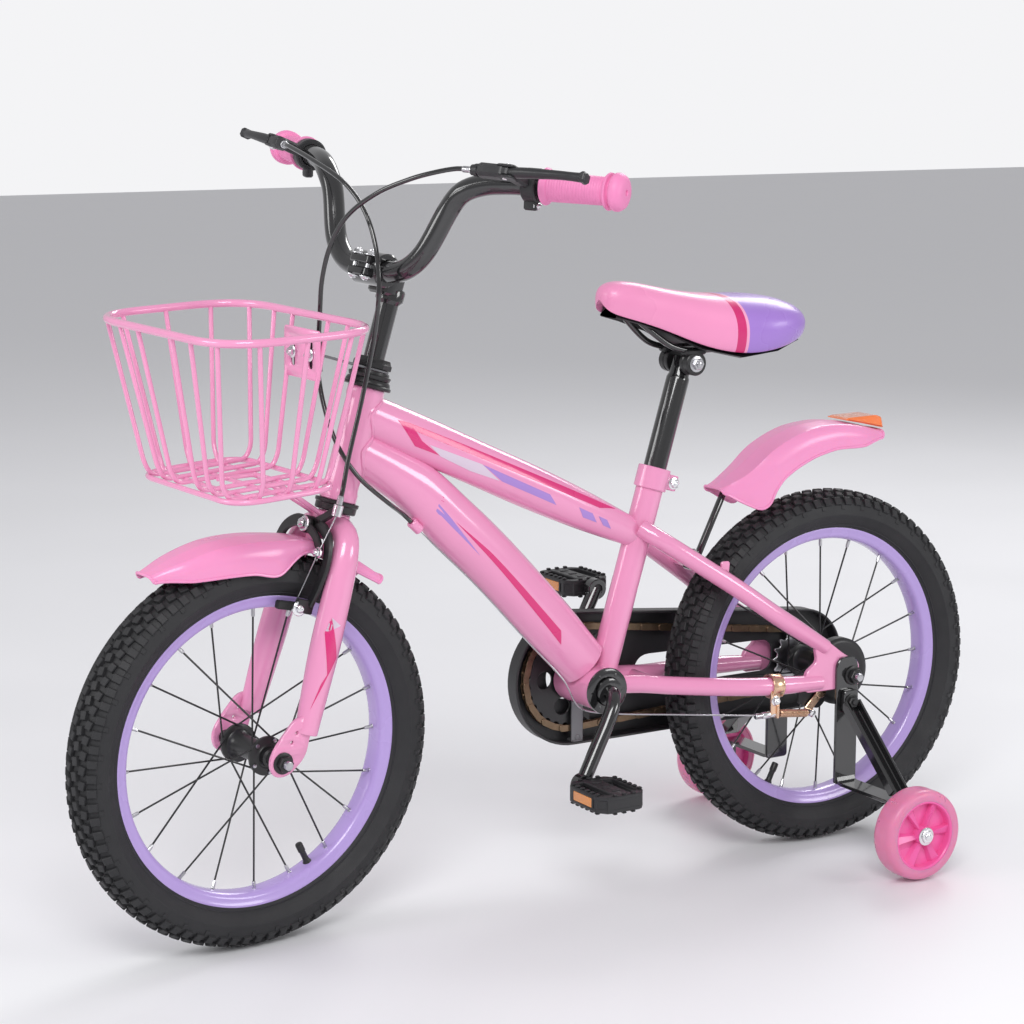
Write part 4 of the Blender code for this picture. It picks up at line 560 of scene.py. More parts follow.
def tube_surface(line, radii, side, flat):
    """Places on a tube's side: u mm along the line from its start, v mm round it from its middle."""
    route = smooth_route(line, 5)
    sizes = spread(radii, len(route))
    lengths = [0.0]
    for a, b in zip(route, route[1:]):
        lengths.append(lengths[-1] + (b - a).length)

    def place(u, v, lift):
        i = 0
        while i < len(lengths) - 2 and lengths[i + 1] < u:
            i += 1
        share = (u - lengths[i]) / (lengths[i + 1] - lengths[i])
        centre = route[i].lerp(route[i + 1], share)
        size = sizes[i] + (sizes[i + 1] - sizes[i]) * share
        run = (route[i + 1] - route[i]).normalized()
        over = run.cross(Y)
        if over.z < 0:
            over.negate()
        turn = v / size
        return centre + over * (size + lift) * math.sin(turn) + Y * side * (size * flat + lift) * math.cos(turn)

    return place


# Frame
TOP_TUBE = [(583, 0, 532), (520, 0, 502.7), (410, 0, 451.3), (300, 0, 399.8), (262, 0, 382), (240, 0, 371.7)]
TOP_SIZES = [22.1, 23.3, 23.3, 23.3, 20.5, 14.7]
TOP_FLAT, DOWN_FLAT = 0.84, 0.8
DOWN_TUBE = [(596, 0, 497), (578, 0, 487), (552, 0, 471.5), (520, 0, 450), (482, 0, 413.5), (430, 0, 363.5),
             (370, 0, 299.5), (318, 0, 242)]
DOWN_SIZES = [21.6, 24, 28, 30, 30, 30, 30, 28]
CABLE_STOP, STOP_RUN = Vector((525.7, 8, 412)), Vector((-0.721, 0, -0.693))
SEAT_STAY = [(250, 12, 384), (238, 27, 374), (205, 38, 351.5), (150, 50, 314.5), (100, 58, 279), (34, 58.4, 237)]
CHAIN_STAY = [(298, 14, 217.5), (260, 24.5, 216.5), (222, 33, 211.5), (165, 49, 206), (110, 58, 201.5),
              (40, 58.4, 197.5)]


def side_plane(y):
    """Local X forwards, local Y up."""
    return Matrix(((1, 0, 0, 0), (0, 0, -1, y), (0, 1, 0, 0), (0, 0, 0, 1)))


def in_head_tube(place):
    rest = place - HEAD
    return (rest - HEAD_UP * rest.dot(HEAD_UP)).length < 18.4


def weld(form, start, run, radius, flat):
    """A bead where a tube of this radius meets the head tube."""
    run = Vector(run).normalized()
    matrix = axes((0, 0, 0), run, Y).to_3x3()
    line = []
    for a in full_turn(36):
        offset = matrix @ Vector((radius * math.cos(a), radius * math.sin(a), 0))
        offset.y *= flat
        place = Vector(start) + offset
        while not in_head_tube(place):
            place = place + run * 0.6
        line.append(place)
    form.sweep(line, 2.2, 8, cyclic=True)


def build_frame():
    form = Form()
    low, high = TUBE_LOW, TUBE_HIGH
    form.lathe([(15.2, low), (18.2, low), (19, low + 0.8), (19, low + 8.5), (18.3, low + 11), (18, low + 14),
                (18, high - 14), (18.3, high - 11), (19, high - 8.5), (19, high - 0.8), (18.2, high), (15.2, high)],
               HEAD, HEAD_UP, 48, closed=True)
    for line, sizes, sides, flat in ((TOP_TUBE, TOP_SIZES, 32, TOP_FLAT),
                                     (DOWN_TUBE, DOWN_SIZES, 36, DOWN_FLAT)):
        route = smooth_route(line, 12)
        form.sweep(route, spread(sizes, len(route)), sides, flat=flat)
    long = (SEAT_HIGH - SEAT_LOW).length
    form.lathe([(13, 0), (13, long), (14.4, long), (15, long - 0.6), (15, 0)], SEAT_LOW, SEAT_UP, 40, closed=True)
    form.lathe(collar(20, 24, 34, 0.8, 0.8), BB, Y, 48, closed=True)
    dropout = rounded([(-13, 187), (-13, 215), (8, 226), (36, 247), (50, 240), (46, 222), (62, 211), (62, 188)], 6)
    lug = rounded([(-6, -3), (6, -3), (4, 15), (-4, 15)], 4)
    for side in (1, -1):
        for line, end in ((SEAT_STAY, 8.4), (CHAIN_STAY, 8.2)):
            route = on_side(smooth_route(line, 9), side)
            form.sweep(route, spread([10, 10, 10, 10, 10, end], len(route)), 24)
        form.slab([dropout, circle(5.1, 20, (0, AXLE_Z))], 6.0, side_plane(side * 58.4), 0.9)
        form.slab([lug, circle(2.4, 14, (0, 9))], 3.0, axes((160, side * 41, 341), Y, X), 0.6)
    form.rod((238, -29, 213), (238, 29, 213), 8, 24)
    form.rod((172, -46, 335), (172, 46, 335), 5.5, 24)
    form.lathe(collar(2.9, 5.6, 7, 0.7, 0.8), CABLE_STOP, STOP_RUN, 24, closed=True)
    weld(form, (520, 0, 502.7), (63, 0, 29.3), 21.2, TOP_FLAT)
    weld(form, (560, 0, 476.3), (36, 0, 21.5), 22.2, DOWN_FLAT)
    form.piece("frame_tubes", "frame", PINK, "frame", slot="pink_paint", sharp=40)


def build_frame_stickers():
    """Generic stripes; a band and wedges on the top tube, swooshes and a streak on the down tube."""
    top_bands = [(0, [(32.5, 7), (47, 9), (67, -3), (62.5, -11)]), (0, [(62.5, -11), (67, -3), (93.5, -9.5)]),
                 (0, [(47, 9), (123.5, 12), (125, 5), (56.5, 3.3)]),
                 (0, [(123.5, 12), (301, 16.5), (301.5, 9), (125, 5)]), (0, [(301, 16.5), (324, 17.5), (301.5, 9)]),
                 (2, [(77, -3.5), (143, 0), (171, -8.5), (134, -11.5), (94.5, -10)]),
                 (1, [(144, 0), (234, 0), (247, -7.5), (174, -8)]), (1, [(275, 0), (294, 0), (304, -7), (285, -8)]),
                 (1, [(303, 0), (315, 0), (325, -7), (313.5, -7)])]
    down_bands = [(0, [(51.5, -10), (89, 3.5), (102, 2), (84.5, -5), (55, -12.5)]),
                  (0, [(89, 3.5), (99.5, 12), (106, 12), (113, 3.5), (102, 2)]),
                  (0, [(39, 10), (99.5, 12), (90.5, 4.7)]),
                  (1, [(62, -15.5), (102, -1), (120.5, -8.5), (88, -16.5)]),
                  (1, [(102, -1), (132, -3), (154.5, -9), (120.5, -8.5)]),
                  (1, [(132, -3), (185, -10), (154.5, -9)]), (0, [(137.5, -2), (190.5, 0.5), (198, -5)]),
                  (0, [(190.5, 0.5), (318.5, -1), (331, -11), (198, -5)])]
    for bands, line, sizes, flat, name in ((top_bands, TOP_TUBE, TOP_SIZES, TOP_FLAT, "top"),
                                           (down_bands, DOWN_TUBE, DOWN_SIZES, DOWN_FLAT, "down")):
        for side, word in SIDES:
            form = Form()
            for slot, corners in bands:
                sticker(form, corners, tube_surface(line, sizes, side, flat), slot)
            form.piece(f"{name}_tube_film_{word}", "frame", [MAGENTA, LILAC, SILVER], slot="pink_paint")


def build_head_and_bottom():
    upper = [(14.9, -7), (14.9, 0.3), (23.6, 0.3), (24.5, 1.2), (24.4, 3.4), (22.9, 4.4), (22.9, 5.4), (22, 7.8),
             (21, 9), (13.5, 9), (13.5, -7)]
    lower = [(14.9, 7), (14.9, -0.3), (22, -0.3), (22.5, -1), (22.4, -3.6), (21.2, -4.6), (21, -10.6), (20, -11.7),
             (13.5, -11.7), (13.5, 7)]
    race = [(13.1, 9.4), (20.4, 9.4), (21, 10), (22, 13), (21.4, 14), (19.6, 14.6), (19.2, 17.4), (13.1, 17.4)]
    nut = [(13.1, 20.6), (19.4, 20.6), (20, 21.2), (20, 25.6), (18.6, 27), (17.2, 30.5), (13.1, 30.5)]
    for name, body, node, base, profile, steps, turn in (
            ("headset_upper_cup_ring", "frame", "headset_upper_cup", TUBE_HIGH, upper, 48, 0),
            ("headset_lower_cup_ring", "frame", "headset_lower_cup", TUBE_LOW, lower, 48, 0),
            ("headset_race_ring", "steering", "headset_upper_race", TUBE_HIGH, race, 48, STEER),
            ("headset_nut", "steering", "headset_locknut", TUBE_HIGH, nut, 8, STEER)):
        form = Form()
        form.lathe([(r, base + h) for r, h in profile], HEAD, HEAD_UP, steps, closed=True)
        form.piece(name, body, SATIN, node, turn=turn, slot="black_paint")
    notched = [(19.7, 26), (19.7, 34.3), (24.6, 34.3), (25.2, 35), (24.8, 37), (23, 38), (16, 38), (14.6, 36.4),
               (8.7, 36.4), (8.7, 26)]
    smooth = [(19.7, 26), (19.7, 34.3), (21.6, 34.3), (22, 35), (22, 36.3), (21.4, 36.9), (8.7, 36.9), (8.7, 26)]
    for side, word, profile in ((1, "left", notched), (-1, "right", smooth)):
        form = Form()
        form.lathe(profile, BB, Y * side, 40, closed=True)
        if side > 0:
            for a in full_turn(6):
                form.block(BB + Y * 37.6 + in_wheel(a) * 19.5, (4, 2.4, 1.6), Y, in_wheel(a), 0.8, 0.3)
        form.piece("bottom_cup_" + word, "frame", BLACK, "bb_cup_" + word, slot="black_paint")


def build_seat_clamp():
    form = Form()
    middle = SEAT_HIGH - SEAT_UP * 11
    form.lathe(collar(15.3, 18, 12, 0.7, 0.8), middle, SEAT_UP, 48, closed=True)
    rear = SEAT_UP.cross(Y)
    for side in (1, -1):
        form.block(middle + rear * 22.5 + Y * side * 4.6, (14, 5.4, 17), SEAT_UP, rear, 2.2, 1.0)
    bolt = middle + rear * 24
    form.rod(bolt - Y * 12, bolt + Y * 12, 3, 20, slot=1)
    for side in (1, -1):
        form.bolt(bolt + Y * side * 7.3, Y * side, 5, 4, slot=1)
    form.piece("seat_clamp_ring", "frame", [PINK, CHROME], "seat_clamp", slot="pink_paint")


# Fork; each place of a leg is up, forwards and out from the head's foot, and its radius
LEG = [(-24, 1, 5, 13), (-25, 2, 24, 13.5), (-33, 3, 37, 15), (-50, 4, 43.5, 16), (-82, 4, 45.5, 16),
       (-155, 4, 49, 14.3), (-228, 3.4, 52.5, 12.5)]


def leg_places(side):
    return [on_head(up, forward, side * out) for up, forward, out, _ in LEG]


def build_fork():
    form = Form()
    form.lathe([(11.5, -20), (12.7, -20), (12.7, 150), (11.5, 150)], HEAD, HEAD_UP, 32, closed=True)
    form.lathe([(0, -38), (15.6, -38), (17, -36.6), (17, -10.6), (16, -9.3), (0, -9.3)], HEAD, HEAD_UP, 48)
    radii = [place[-1] for place in LEG]
    dropout = rounded([(674, 244), (694, 246), (716, 222), (726, 206), (722, 188), (704, 187), (684, 204)], 9)
    holes = [circle(4.9, 20, (711, AXLE_Z)), circle(1.8, 12, (700, 221)), circle(1.8, 12, (694, 230))]
    for side in (1, -1):
        route = smooth_route(leg_places(side), 7)
        form.sweep(route, spread(radii, len(route)), 32, flat=0.8, ease=1.2)
        form.slab([dropout, *holes], 5.0, side_plane(side * 55.5), 0.8)
    form.piece("fork_blades", "steering", PINK, "fork", turn=STEER, slot="pink_paint", sharp=45)
    bands = [(0, [(150, -9), (178, 3), (205, 8), (170, -2)]), (0, [(112, 8), (150, -9), (170, -2), (128, 12)]),
             (2, [(112, 8), (128, 12), (118, -4)])]
    for side, word in SIDES:
        film = Form()
        for slot, corners in bands:
            sticker(film, corners, tube_surface(leg_places(side), radii, side, 0.8), slot)
        film.piece("fork_film_" + word, "steering", [MAGENTA, LILAC, SILVER], turn=STEER, slot="pink_paint")


# Bar, stem, grips and levers
def bar_point(y, z):
    """The bar's middle line, which leans back as it rises and sweeps back past its bend."""
    sweep = max(abs(y) - 109, 0) * math.tan(math.radians(21))
    return Vector((BAR_X - 0.26 * (z - BAR_Z) - sweep, y, z))


BAR_X, BAR_Z, GRIP_Z, BAR_R = 569.5, 676, 773.0, 11.0
BAR_RISE = [(0, BAR_Z), (28, BAR_Z), (46, 680), (61, 689.7), (73, 704.4), (92.5, 745), (106.5, 761), (127, 769.6),
            (151.7, 772.6), (170, GRIP_Z), (258, GRIP_Z)]


def build_bar_and_stem():
    form = Form()
    half = [bar_point(y, z) for y, z in BAR_RISE]
    form.sweep(smooth_route(on_side(half[:0:-1], -1) + half, 5), BAR_R, 32, ease=0.8)
    form.piece("bar_tube", "steering", BLACK, "handlebar", turn=BAR, slot="black_paint")
    form = Form()
    centre = Vector((BAR_X, 0, BAR_Z))
    form.lathe([(0, 60), (11, 60), (11, 206), (12.6, 208), (14.5, 210), (14.5, 220), (13.4, 222), (0, 222)], HEAD,
               HEAD_UP, 40)
    form.block(on_head(224, 8), (28, 27, 21), HEAD_UP, HEAD_FORWARD, 6, 2.5)
    form.lathe(collar(11.5, 17, 21, 1.6, 1.6), centre, Y, 48, closed=True)
    lift, ahead = (centre - HEAD).dot(HEAD_UP), (centre - HEAD).dot(HEAD_FORWARD)
    for shift in (6.2, -6.2):
        form.block(on_head(lift + shift, ahead + 16), (13, 30, 8.4), HEAD_UP, HEAD_FORWARD, 3, 1.4)
    for side in (10, -10):
        form.rod(on_head(lift - 13, ahead + 17, side), on_head(lift + 13, ahead + 17, side), 2.6, 16, slot=1)
        form.bolt(on_head(lift + 10.6, ahead + 17, side), HEAD_UP, 4.6, 3.4, 1)
        form.bolt(on_head(lift - 10.6, ahead + 17, side), -HEAD_UP, 4.6, 3.0, 1, dome=True)
    form.bolt(on_head(234.4), HEAD_UP, 6, 4, 1)
    form.piece("stem_quill", "steering", [BLACK, CHROME], "stem", turn=BAR, slot="black_paint")


def bar_direction(side):
    return (bar_point(side * 200, GRIP_Z) - bar_point(side * 180, GRIP_Z)).normalized()


def lever_axis(side):
    pivot, tip = Vector((559.8, 181.5 * side, 787.1)), Vector((536.3, 265.2 * side, 788.5))
    return pivot, tip, (tip - pivot).cross(Vector((-27, 0, -11))).normalized()


def build_grip(side, word):
    inner, outer = bar_point(side * 187, GRIP_Z), bar_point(side * 266.5, GRIP_Z)
    long = (outer - inner).length
    profile = [(11.8, 0), (15.5, 0), (17.4, 0.5), (18, 1.5), (17.6, 2.8), (15.6, 3.9), (14.8, 5.4)]
    start, end, count = 6.5, long - 21, 20
    pitch = (end - start) / count
    for i in range(count):
        u = start + (end - start) * i / count
        base = 14.3 - 0.7 * i / count
        profile += [(base - 0.5, u), (base, u + pitch * 0.25), (base, u + pitch * 0.65),
                    (base - 0.5, u + pitch * 0.85)]
    profile += [(13.6, long - 19.6), (17, long - 18.8), (18, long - 17.4), (17.6, long - 15.8), (14.6, long - 14.8),
                (14.6, long - 12.8), (17.4, long - 12), (18.2, long - 10.6), (18.2, long - 7.2), (17.2, long - 5),
                (15.4, long - 2.4), (12, long - 0.7), (8, long), (3, long), (2.6, long - 1.5), (0, long - 1.5)]
    profile += [(0, long - 8.5), (11.8, long - 8.5)]
    form = Form()
    form.lathe(profile, inner, outer - inner, 64, closed=True)
    form.piece("grip_sleeve_" + word, "steering", GRIP, "grip_" + word, turn=BAR, slot="pink_rubber", sharp=50)


def build_lever_mount(side, word):
    form = Form()
    centre = bar_point(side * 175.5, GRIP_Z)
    along = bar_direction(side)
    pivot, _, axis = lever_axis(side)
    form.lathe(collar(11.4, 16.5, 7.5, 1.3, 1.3), centre, along, 40, closed=True)
    reach = (pivot - centre).length
    form.block(centre.lerp(pivot, 0.42), (reach * 0.8, 13, 12), axis, pivot - centre, 3, 2.5)
    form.block(pivot - along * 15, (30, 15, 13), axis, along, 5, 3)
    for shift in (1, -1):
        form.block(pivot + axis * shift * 5.2 + along * 1, (22, 15, 2.6), axis, along, 6, 1)
    form.lathe([(6.4, 0), (6.2, 3), (5.4, 5), (5.2, 7), (0, 7)], pivot - along * 29, -along, 24)
    form.lathe([(2.4, 0), (4.2, 0), (4.4, 0.6), (4.4, 5), (3.4, 5.6), (3.4, 6.6), (4.2, 7), (4.2, 13), (3.6, 14),
                (2.4, 14)], pivot - along * 24, -along, 24, closed=True, slot=1)
    form.block(centre + Vector((2, 0, -18)), (14, 9, 11), Z, along, 3, 1.5)
    form.bolt(centre + Vector((2, 0, -19)) + along * 4.4, along, 3.4, 3, 1)
    form.rod(pivot - axis * 7, pivot + axis * 7, 2.4, 16, slot=1)
    form.bolt(pivot + axis * 6.6, axis, 3.4, 2.0, 1, washer=False, dome=True)
    form.piece("lever_bracket_" + word, "steering", [PLASTIC, CHROME], "brake_lever_mount_" + word, turn=BAR,
               slot="black_plastic")


def build_lever(side, word):
    form = Form()
    pivot, tip, axis = lever_axis(side)
    along = (tip - pivot).normalized()
    ahead = axis.cross(along) * -1
    points = [pivot + along * 6, pivot + along * 24 + ahead * 2, pivot.lerp(tip, 0.5) + ahead * 3,
              tip - along * 25 + ahead * 3, tip - along * 6 + ahead * 0.6, tip + along * 2]
    route = smooth_route(points, 4)
    form.sweep(route, spread([6.4, 6.6, 6.0, 5.4, 5.2, 5.8], len(route)), 24, ease=1.2, up=axis, tall=0.8)
    form.lathe(collar(2.5, 6.6, 3.3, 0.6, 0.6), pivot, axis, 32, closed=True)
    form.block(tip - along * 1.5, (7.5, 12.6, 10.4), axis, along, 3.2, 2.2)
    form.block(pivot.lerp(tip, 0.46) + ahead * 3.2, (34, 8.6, 7.4), axis, along, 3, 1.6)
    form.piece("lever_blade_" + word, "brake_lever_" + word, PLASTIC, "brake_lever_" + word, turn=BAR,
               slot="black_plastic")


# Basket
def loop(centre_x, half_x, half_y, radius, height, steps=10):
    corners = [(centre_x + half_x * a, half_y * b) for a, b in ((1, 1), (-1, 1), (-1, -1), (1, -1))]
    return [Vector((x, y, height(x))) for x, y in rounded(corners, radius, steps)]


RIM_X, RIM_LONG, RIM_WIDE, RIM_CORNER = 729.8, 87.4, 133.6, 62
FLOOR_X, BASKET_WIRE = 726.5, 2.4


def rim_height(x):
    return 631.9 - (x - RIM_X) * math.tan(math.radians(1.7))


def rim_inset(beyond):
    """How far the rim lies inside its straight side, this far past the start of its rounded corner."""
    share = 1 - math.sqrt(1 - max(beyond, 0) / RIM_CORNER)
    return RIM_CORNER * share * share


def floor_height(x):
    return 480 - 6 * (x - 668) / 117


def bent(points, reach=8.0):
    """A wire's corners rounded off."""
    knots = [Vector(p) for p in points]
    line = [knots[0]]
    for before, corner, after in zip(knots, knots[1:], knots[2:]):
        start = corner + (before - corner).normalized() * min(reach, (before - corner).length / 2.1)
        end = corner + (after - corner).normalized() * min(reach, (after - corner).length / 2.1)
        for i in range(6):
            t = i / 5
            line.append(start * (1 - t) ** 2 + corner * 2 * t * (1 - t) + end * t * t)
    return line + [knots[-1]]


def build_basket():
    form = Form()
    form.sweep(loop(RIM_X, RIM_LONG, RIM_WIDE, RIM_CORNER, rim_height, 14), 4.0, 20, cyclic=True)
    form.sweep(loop(FLOOR_X, 58.5, 95, 34, floor_height), 2.8, 16, cyclic=True)
    for share in (-0.84, -0.54, -0.26, 0.26, 0.54, 0.84):
        top, low = share * 125.6, share * 89
        reach = RIM_LONG - rim_inset(abs(top) - RIM_WIDE + RIM_CORNER)
        front, back = RIM_X + reach, RIM_X - reach
        points = [(front, top, rim_height(front)), (788, low, 488), (780, low, 475.5), (673, low, 481.5),
                  (666, low, 494), (back, top, rim_height(back))]
        form.sweep(bent(points), BASKET_WIRE, 12)
    for share in (-0.62, 0.0, 0.62):
        top, low = RIM_X + share * 81.4, FLOOR_X + share * 50.5
        z = floor_height(low)
        side = RIM_WIDE - rim_inset(abs(share) * 81.4 - RIM_LONG + RIM_CORNER)
        points = [(top, side, rim_height(top)), (low, 99, z + 14), (low, 89, z - 1.5)]
        form.sweep(bent(points + on_side(reversed(points), -1)), BASKET_WIRE, 12)
    slots = [rounded([(y - 4, -14), (y + 4, -14), (y + 4, 14), (y - 4, 14)], 4) for y in (-16, 16)]
    outline = rounded([(-32, -25), (32, -25), (32, 25), (-32, 25)], 4)
    form.slab([outline, *slots], 2.6, axes((652.2, 0, 597), X, Y), 0.6)
    for y in (-16, 16):
        strut = [(740, y, 477), (697, y, 477.5), on_head(-13.5, 21.4, y / 2), on_head(-20, 21.2, y / 2)]
        form.sweep(bent(strut, 6), BASKET_WIRE, 12)
    form.slab([rounded([(-13, -35), (13, -35), (13, -10.5), (-13, -10.5)], 5), circle(3.4, 20, (0, -27))], 1.6,
              axes(on_head(0, 20.5), HEAD_FORWARD, Y), 0.3)
    form.piece("basket_wires", "steering", PINK, "basket", turn=STEER, slot="pink_paint", sharp=50)
    strap = Form()
    level = 138.8
    strap.lathe([(r, level + h) for r, h in collar(13.1, 18, 1.2, 0.4, 0.4)], HEAD, HEAD_UP, 40, closed=True)
    strap.block(on_head(level, 45.5), (64, 22, 2.4), HEAD_UP, HEAD_FORWARD, 3, 0.4)
    strap.block((645.4, 0, 598), (2.4, 50, 34), Z, X, 1, 0.4)
    for y in (-16, 16):
        strap.rod((641, y, 597), (655, y, 597), 2.6, 16, slot=1)
        strap.bolt((653.7, y, 597), X, 4.8, 3.4, 1)
        strap.bolt((644.0, y, 597), -X, 4.6, 2.6, 1, washer=False)
    strap.piece("basket_strap", "steering", [GREY, CHROME], "basket_bracket", turn=STEER, slot="grey_paint")


# Mudguards
def guard_shell(ridge, half_width, drop, axle, columns):
    """A creased shell along its ridge with a bead on each edge."""
    line = smooth_route([(x, 0, z) for x, z in ridge], 4)
    widths, drops = spread(half_width, len(line)), spread(drop, len(line))

    def shape(u, v):
        place = u * (len(line) - 1)
        low = min(int(place), len(line) - 2)
        share = place - low
        top = line[low].lerp(line[low + 1], share)
        wide = widths[low] + (widths[low + 1] - widths[low]) * share
        deep = drops[low] + (drops[low + 1] - drops[low]) * share
        inward = (axle - top).normalized()
        across = 2 * v - 1
        bend = abs(across)
        soft = max(0.0, bend - 0.44)
        fall = 0.16 * bend + 1.68 * soft * soft / (soft + 0.06)
        reach = math.sin(min(bend * 1.25, 1) * math.pi / 2) * math.copysign(1, across)
        return top + inward * fall * deep * 0.97 + Y * reach * wide

    form = Form()
    form.grid(columns, 40, shape, -2.2)
    for v in (0.0, 1.0):
        form.sweep([shape(i / 60, v) for i in range(61)], 1.5, 10, ease=0.6)
    for u in (0.0, 1.0):
        form.sweep([shape(u, i / 24) for i in range(25)], 1.5, 10, ease=0.6)
    return form


def build_mudguards():
    ridge = [(832, 396), (800, 408.5), (760, 419), (718, 421.5), (680, 418), (645, 410), (610, 394), (568, 366)]
    form = guard_shell(ridge, [15, 26, 31, 32.5, 32, 24, 23, 23, 22], [8, 22, 30, 33, 36, 13, 12, 12, 9],
                       FRONT_AXLE, 120)
    form.slab([rounded([(-12, -46), (-8, -20), (8, -20), (12, -46)], 6), circle(3.4, 20, (0, -27))], 1.8,
              axes(on_head(0, 18.3), HEAD_FORWARD, Y), 0.3)
    form.piece("front_mudguard_shell", "steering", GUARD, "front_mudguard", turn=STEER, slot="pink_plastic")
    ridge = [(149, 419), (138.5, 424), (112, 440.5), (82, 461.5), (44, 477), (9, 482), (-15, 481.4), (-44, 476),
             (-73, 468)]
    drop = [7, 28, 45, 48, 41, 37, 35.5, 34.5, 33.5, 32, 30.5, 29, 28, 26, 22, 15, 9]
    form = guard_shell(ridge, [17, 26, 30, 31, 31.5, 31.5, 31, 29, 22], drop, REAR_AXLE, 110)
    form.piece("rear_mudguard_shell", "frame", GUARD, "rear_mudguard", slot="pink_plastic")
    form = Form()
    low, high = Vector((169.5, 0, 341)), Vector((126.95, 0, 425.5))
    form.sweep([low, low.lerp(high, 0.5), high], 4.6, 20, ease=1, flat=1.1, tall=0.7)
    form.block((173.5, 0, 338), (16, 20, 16), Z, X, 3, 1.5)
    form.bolt((173.5, 0, 346), Z, 5, 3.5, 1)
    form.piece("mudguard_stay_bar", "frame", [BLACK, CHROME], "rear_mudguard_stay", slot="black_paint")
    form = Form()
    wedge = [(-20, 482.7), (-26, 484.8), (-66, 485.4), (-73, 482.6), (-76, 470.2), (-44, 477.8)]
    form.slab([rounded(wedge, 2, 3)], 34, axes((0, 0, 0), -Y, X), 1.6)
    form.piece("reflector_lens", "frame", ORANGE, "rear_reflector", slot="orange_reflector")


# Cranks, pedals and chain
def crank_dir(side):
    return in_wheel(math.radians(CRANK_TURN + (0 if side > 0 else 180)))


def crank_end(side):
    return BB + crank_dir(side) * CRANK_REACH + Y * side * CRANK_END


def belt(front_r, rear_r, steps=24):
    """The outline of a belt round the bottom bracket and the rear axle."""
    front, rear = Vector((BB.x, BB.z)), Vector((0, AXLE_Z))
    run = front - rear
    base = math.atan2(run.y, run.x)
    reach = math.acos((rear_r - front_r) / run.length)
    outline = []
    for centre, radius, start, sweep in ((front, front_r, base - reach, 2 * reach),
                                         (rear, rear_r, base + reach, 2 * math.pi - 2 * reach)):
        for i in range(steps + 1):
            turn = start + sweep * i / steps
            outline.append((centre.x + radius * math.cos(turn), centre.y + radius * math.sin(turn)))
    return outline


def build_crank():
    form = Form()
    bend = [(0, 30), (0, 45), (3, 51), (12, 58), (30, 62.5), (66, 67), (CRANK_REACH, 71.5)]
    left, right = [[BB + crank_dir(side) * d + Y * side * y for d, y in bend] for side in (1, -1)]
    form.sweep(smooth_route(right[::-1] + left, 4), 8.0, 24)
    for side in (1, -1):
        form.lathe(collar(6.2, 11.5, 6, 0.9, 1), crank_end(side), Y, 32, closed=True)
    form.lathe([(8, 38.6), (14, 38.6), (15, 39.4), (15, 42), (13, 43), (8, 43)], BB, Y, 32, closed=True)
    form.piece("crank_bar", "crank", BLACK, "crank", slot="black_paint")


def gear(teeth, pitch_r, depth):
    """A toothed outline."""
    line = []
    for k in range(teeth):
        for share, r in ((-0.5, -depth), (-0.3, -depth * 0.8), (-0.12, depth * 0.55), (0.0, depth * 0.75),
                         (0.12, depth * 0.55), (0.3, -depth * 0.8)):
            a = 2 * math.pi * (k + share) / teeth
            line.append(((pitch_r + r) * math.cos(a), (pitch_r + r) * math.sin(a)))
    return line


def build_chainrings():
    form = Form()
    holes = [circle(9.5, 20, place) for place in circle(33, 5)]
    form.slab([gear(FRONT_TEETH, 54.4, 3.6), circle(8.6, 24), *holes], 2.4, axes(BB + Y * CHAIN_Y, Y), 0.4)
    form.piece("chainring_plate", "crank", SATIN, "chainring", slot="black_paint")
    form = Form()
    form.slab([gear(REAR_TEETH, 30.4, 3.4), circle(12.8, 24)], 2.4, axes(REAR_AXLE + Y * CHAIN_Y, Y), 0.4)
    form.piece("sprocket_plate", "rear_wheel", STEEL, "rear_sprocket", slot="steel")


def build_chain():
    """Inner and outer links by turns along the belt line."""
    line = [Vector((x, CHAIN_Y, z)) for x, z in belt(57.0, 32.8, 60)]
    line.append(line[0])
    lengths = [0.0]
    for a, b in zip(line, line[1:]):
        lengths.append(lengths[-1] + (b - a).length)
    count = 2 * round(lengths[-1] / (2 * CHAIN_PITCH))
    places = []
    for k in range(count):
        target = lengths[-1] * k / count
        i = max(j for j in range(len(line) - 1) if lengths[j] <= target)
        places.append(line[i].lerp(line[i + 1], (target - lengths[i]) / (lengths[i + 1] - lengths[i])))
    form = Form()
    for k, place in enumerate(places):
        after = places[(k + 1) % count]
        run = after - place
        half = run.length / 2
        outline = [(half * math.copysign(1, x) + x, y) for x, y in circle(3.9, 12)]
        gap = 2.0 if k % 2 else 3.1
        for side in (1, -1):
            form.slab([outline], 0.9, axes((place + after) / 2 + Y * side * gap, Y, run), 0.2)
        form.lathe([(0, -1.6), (3.4, -1.6), (3.4, 1.6), (0, 1.6)], place, Y, 12)
        form.lathe([(0, -3.7), (1.6, -3.7), (1.6, 3.7), (0, 3.7)], place, Y, 8)
    form.piece("chain_links", "frame", CHAIN, "chain", slot="steel")


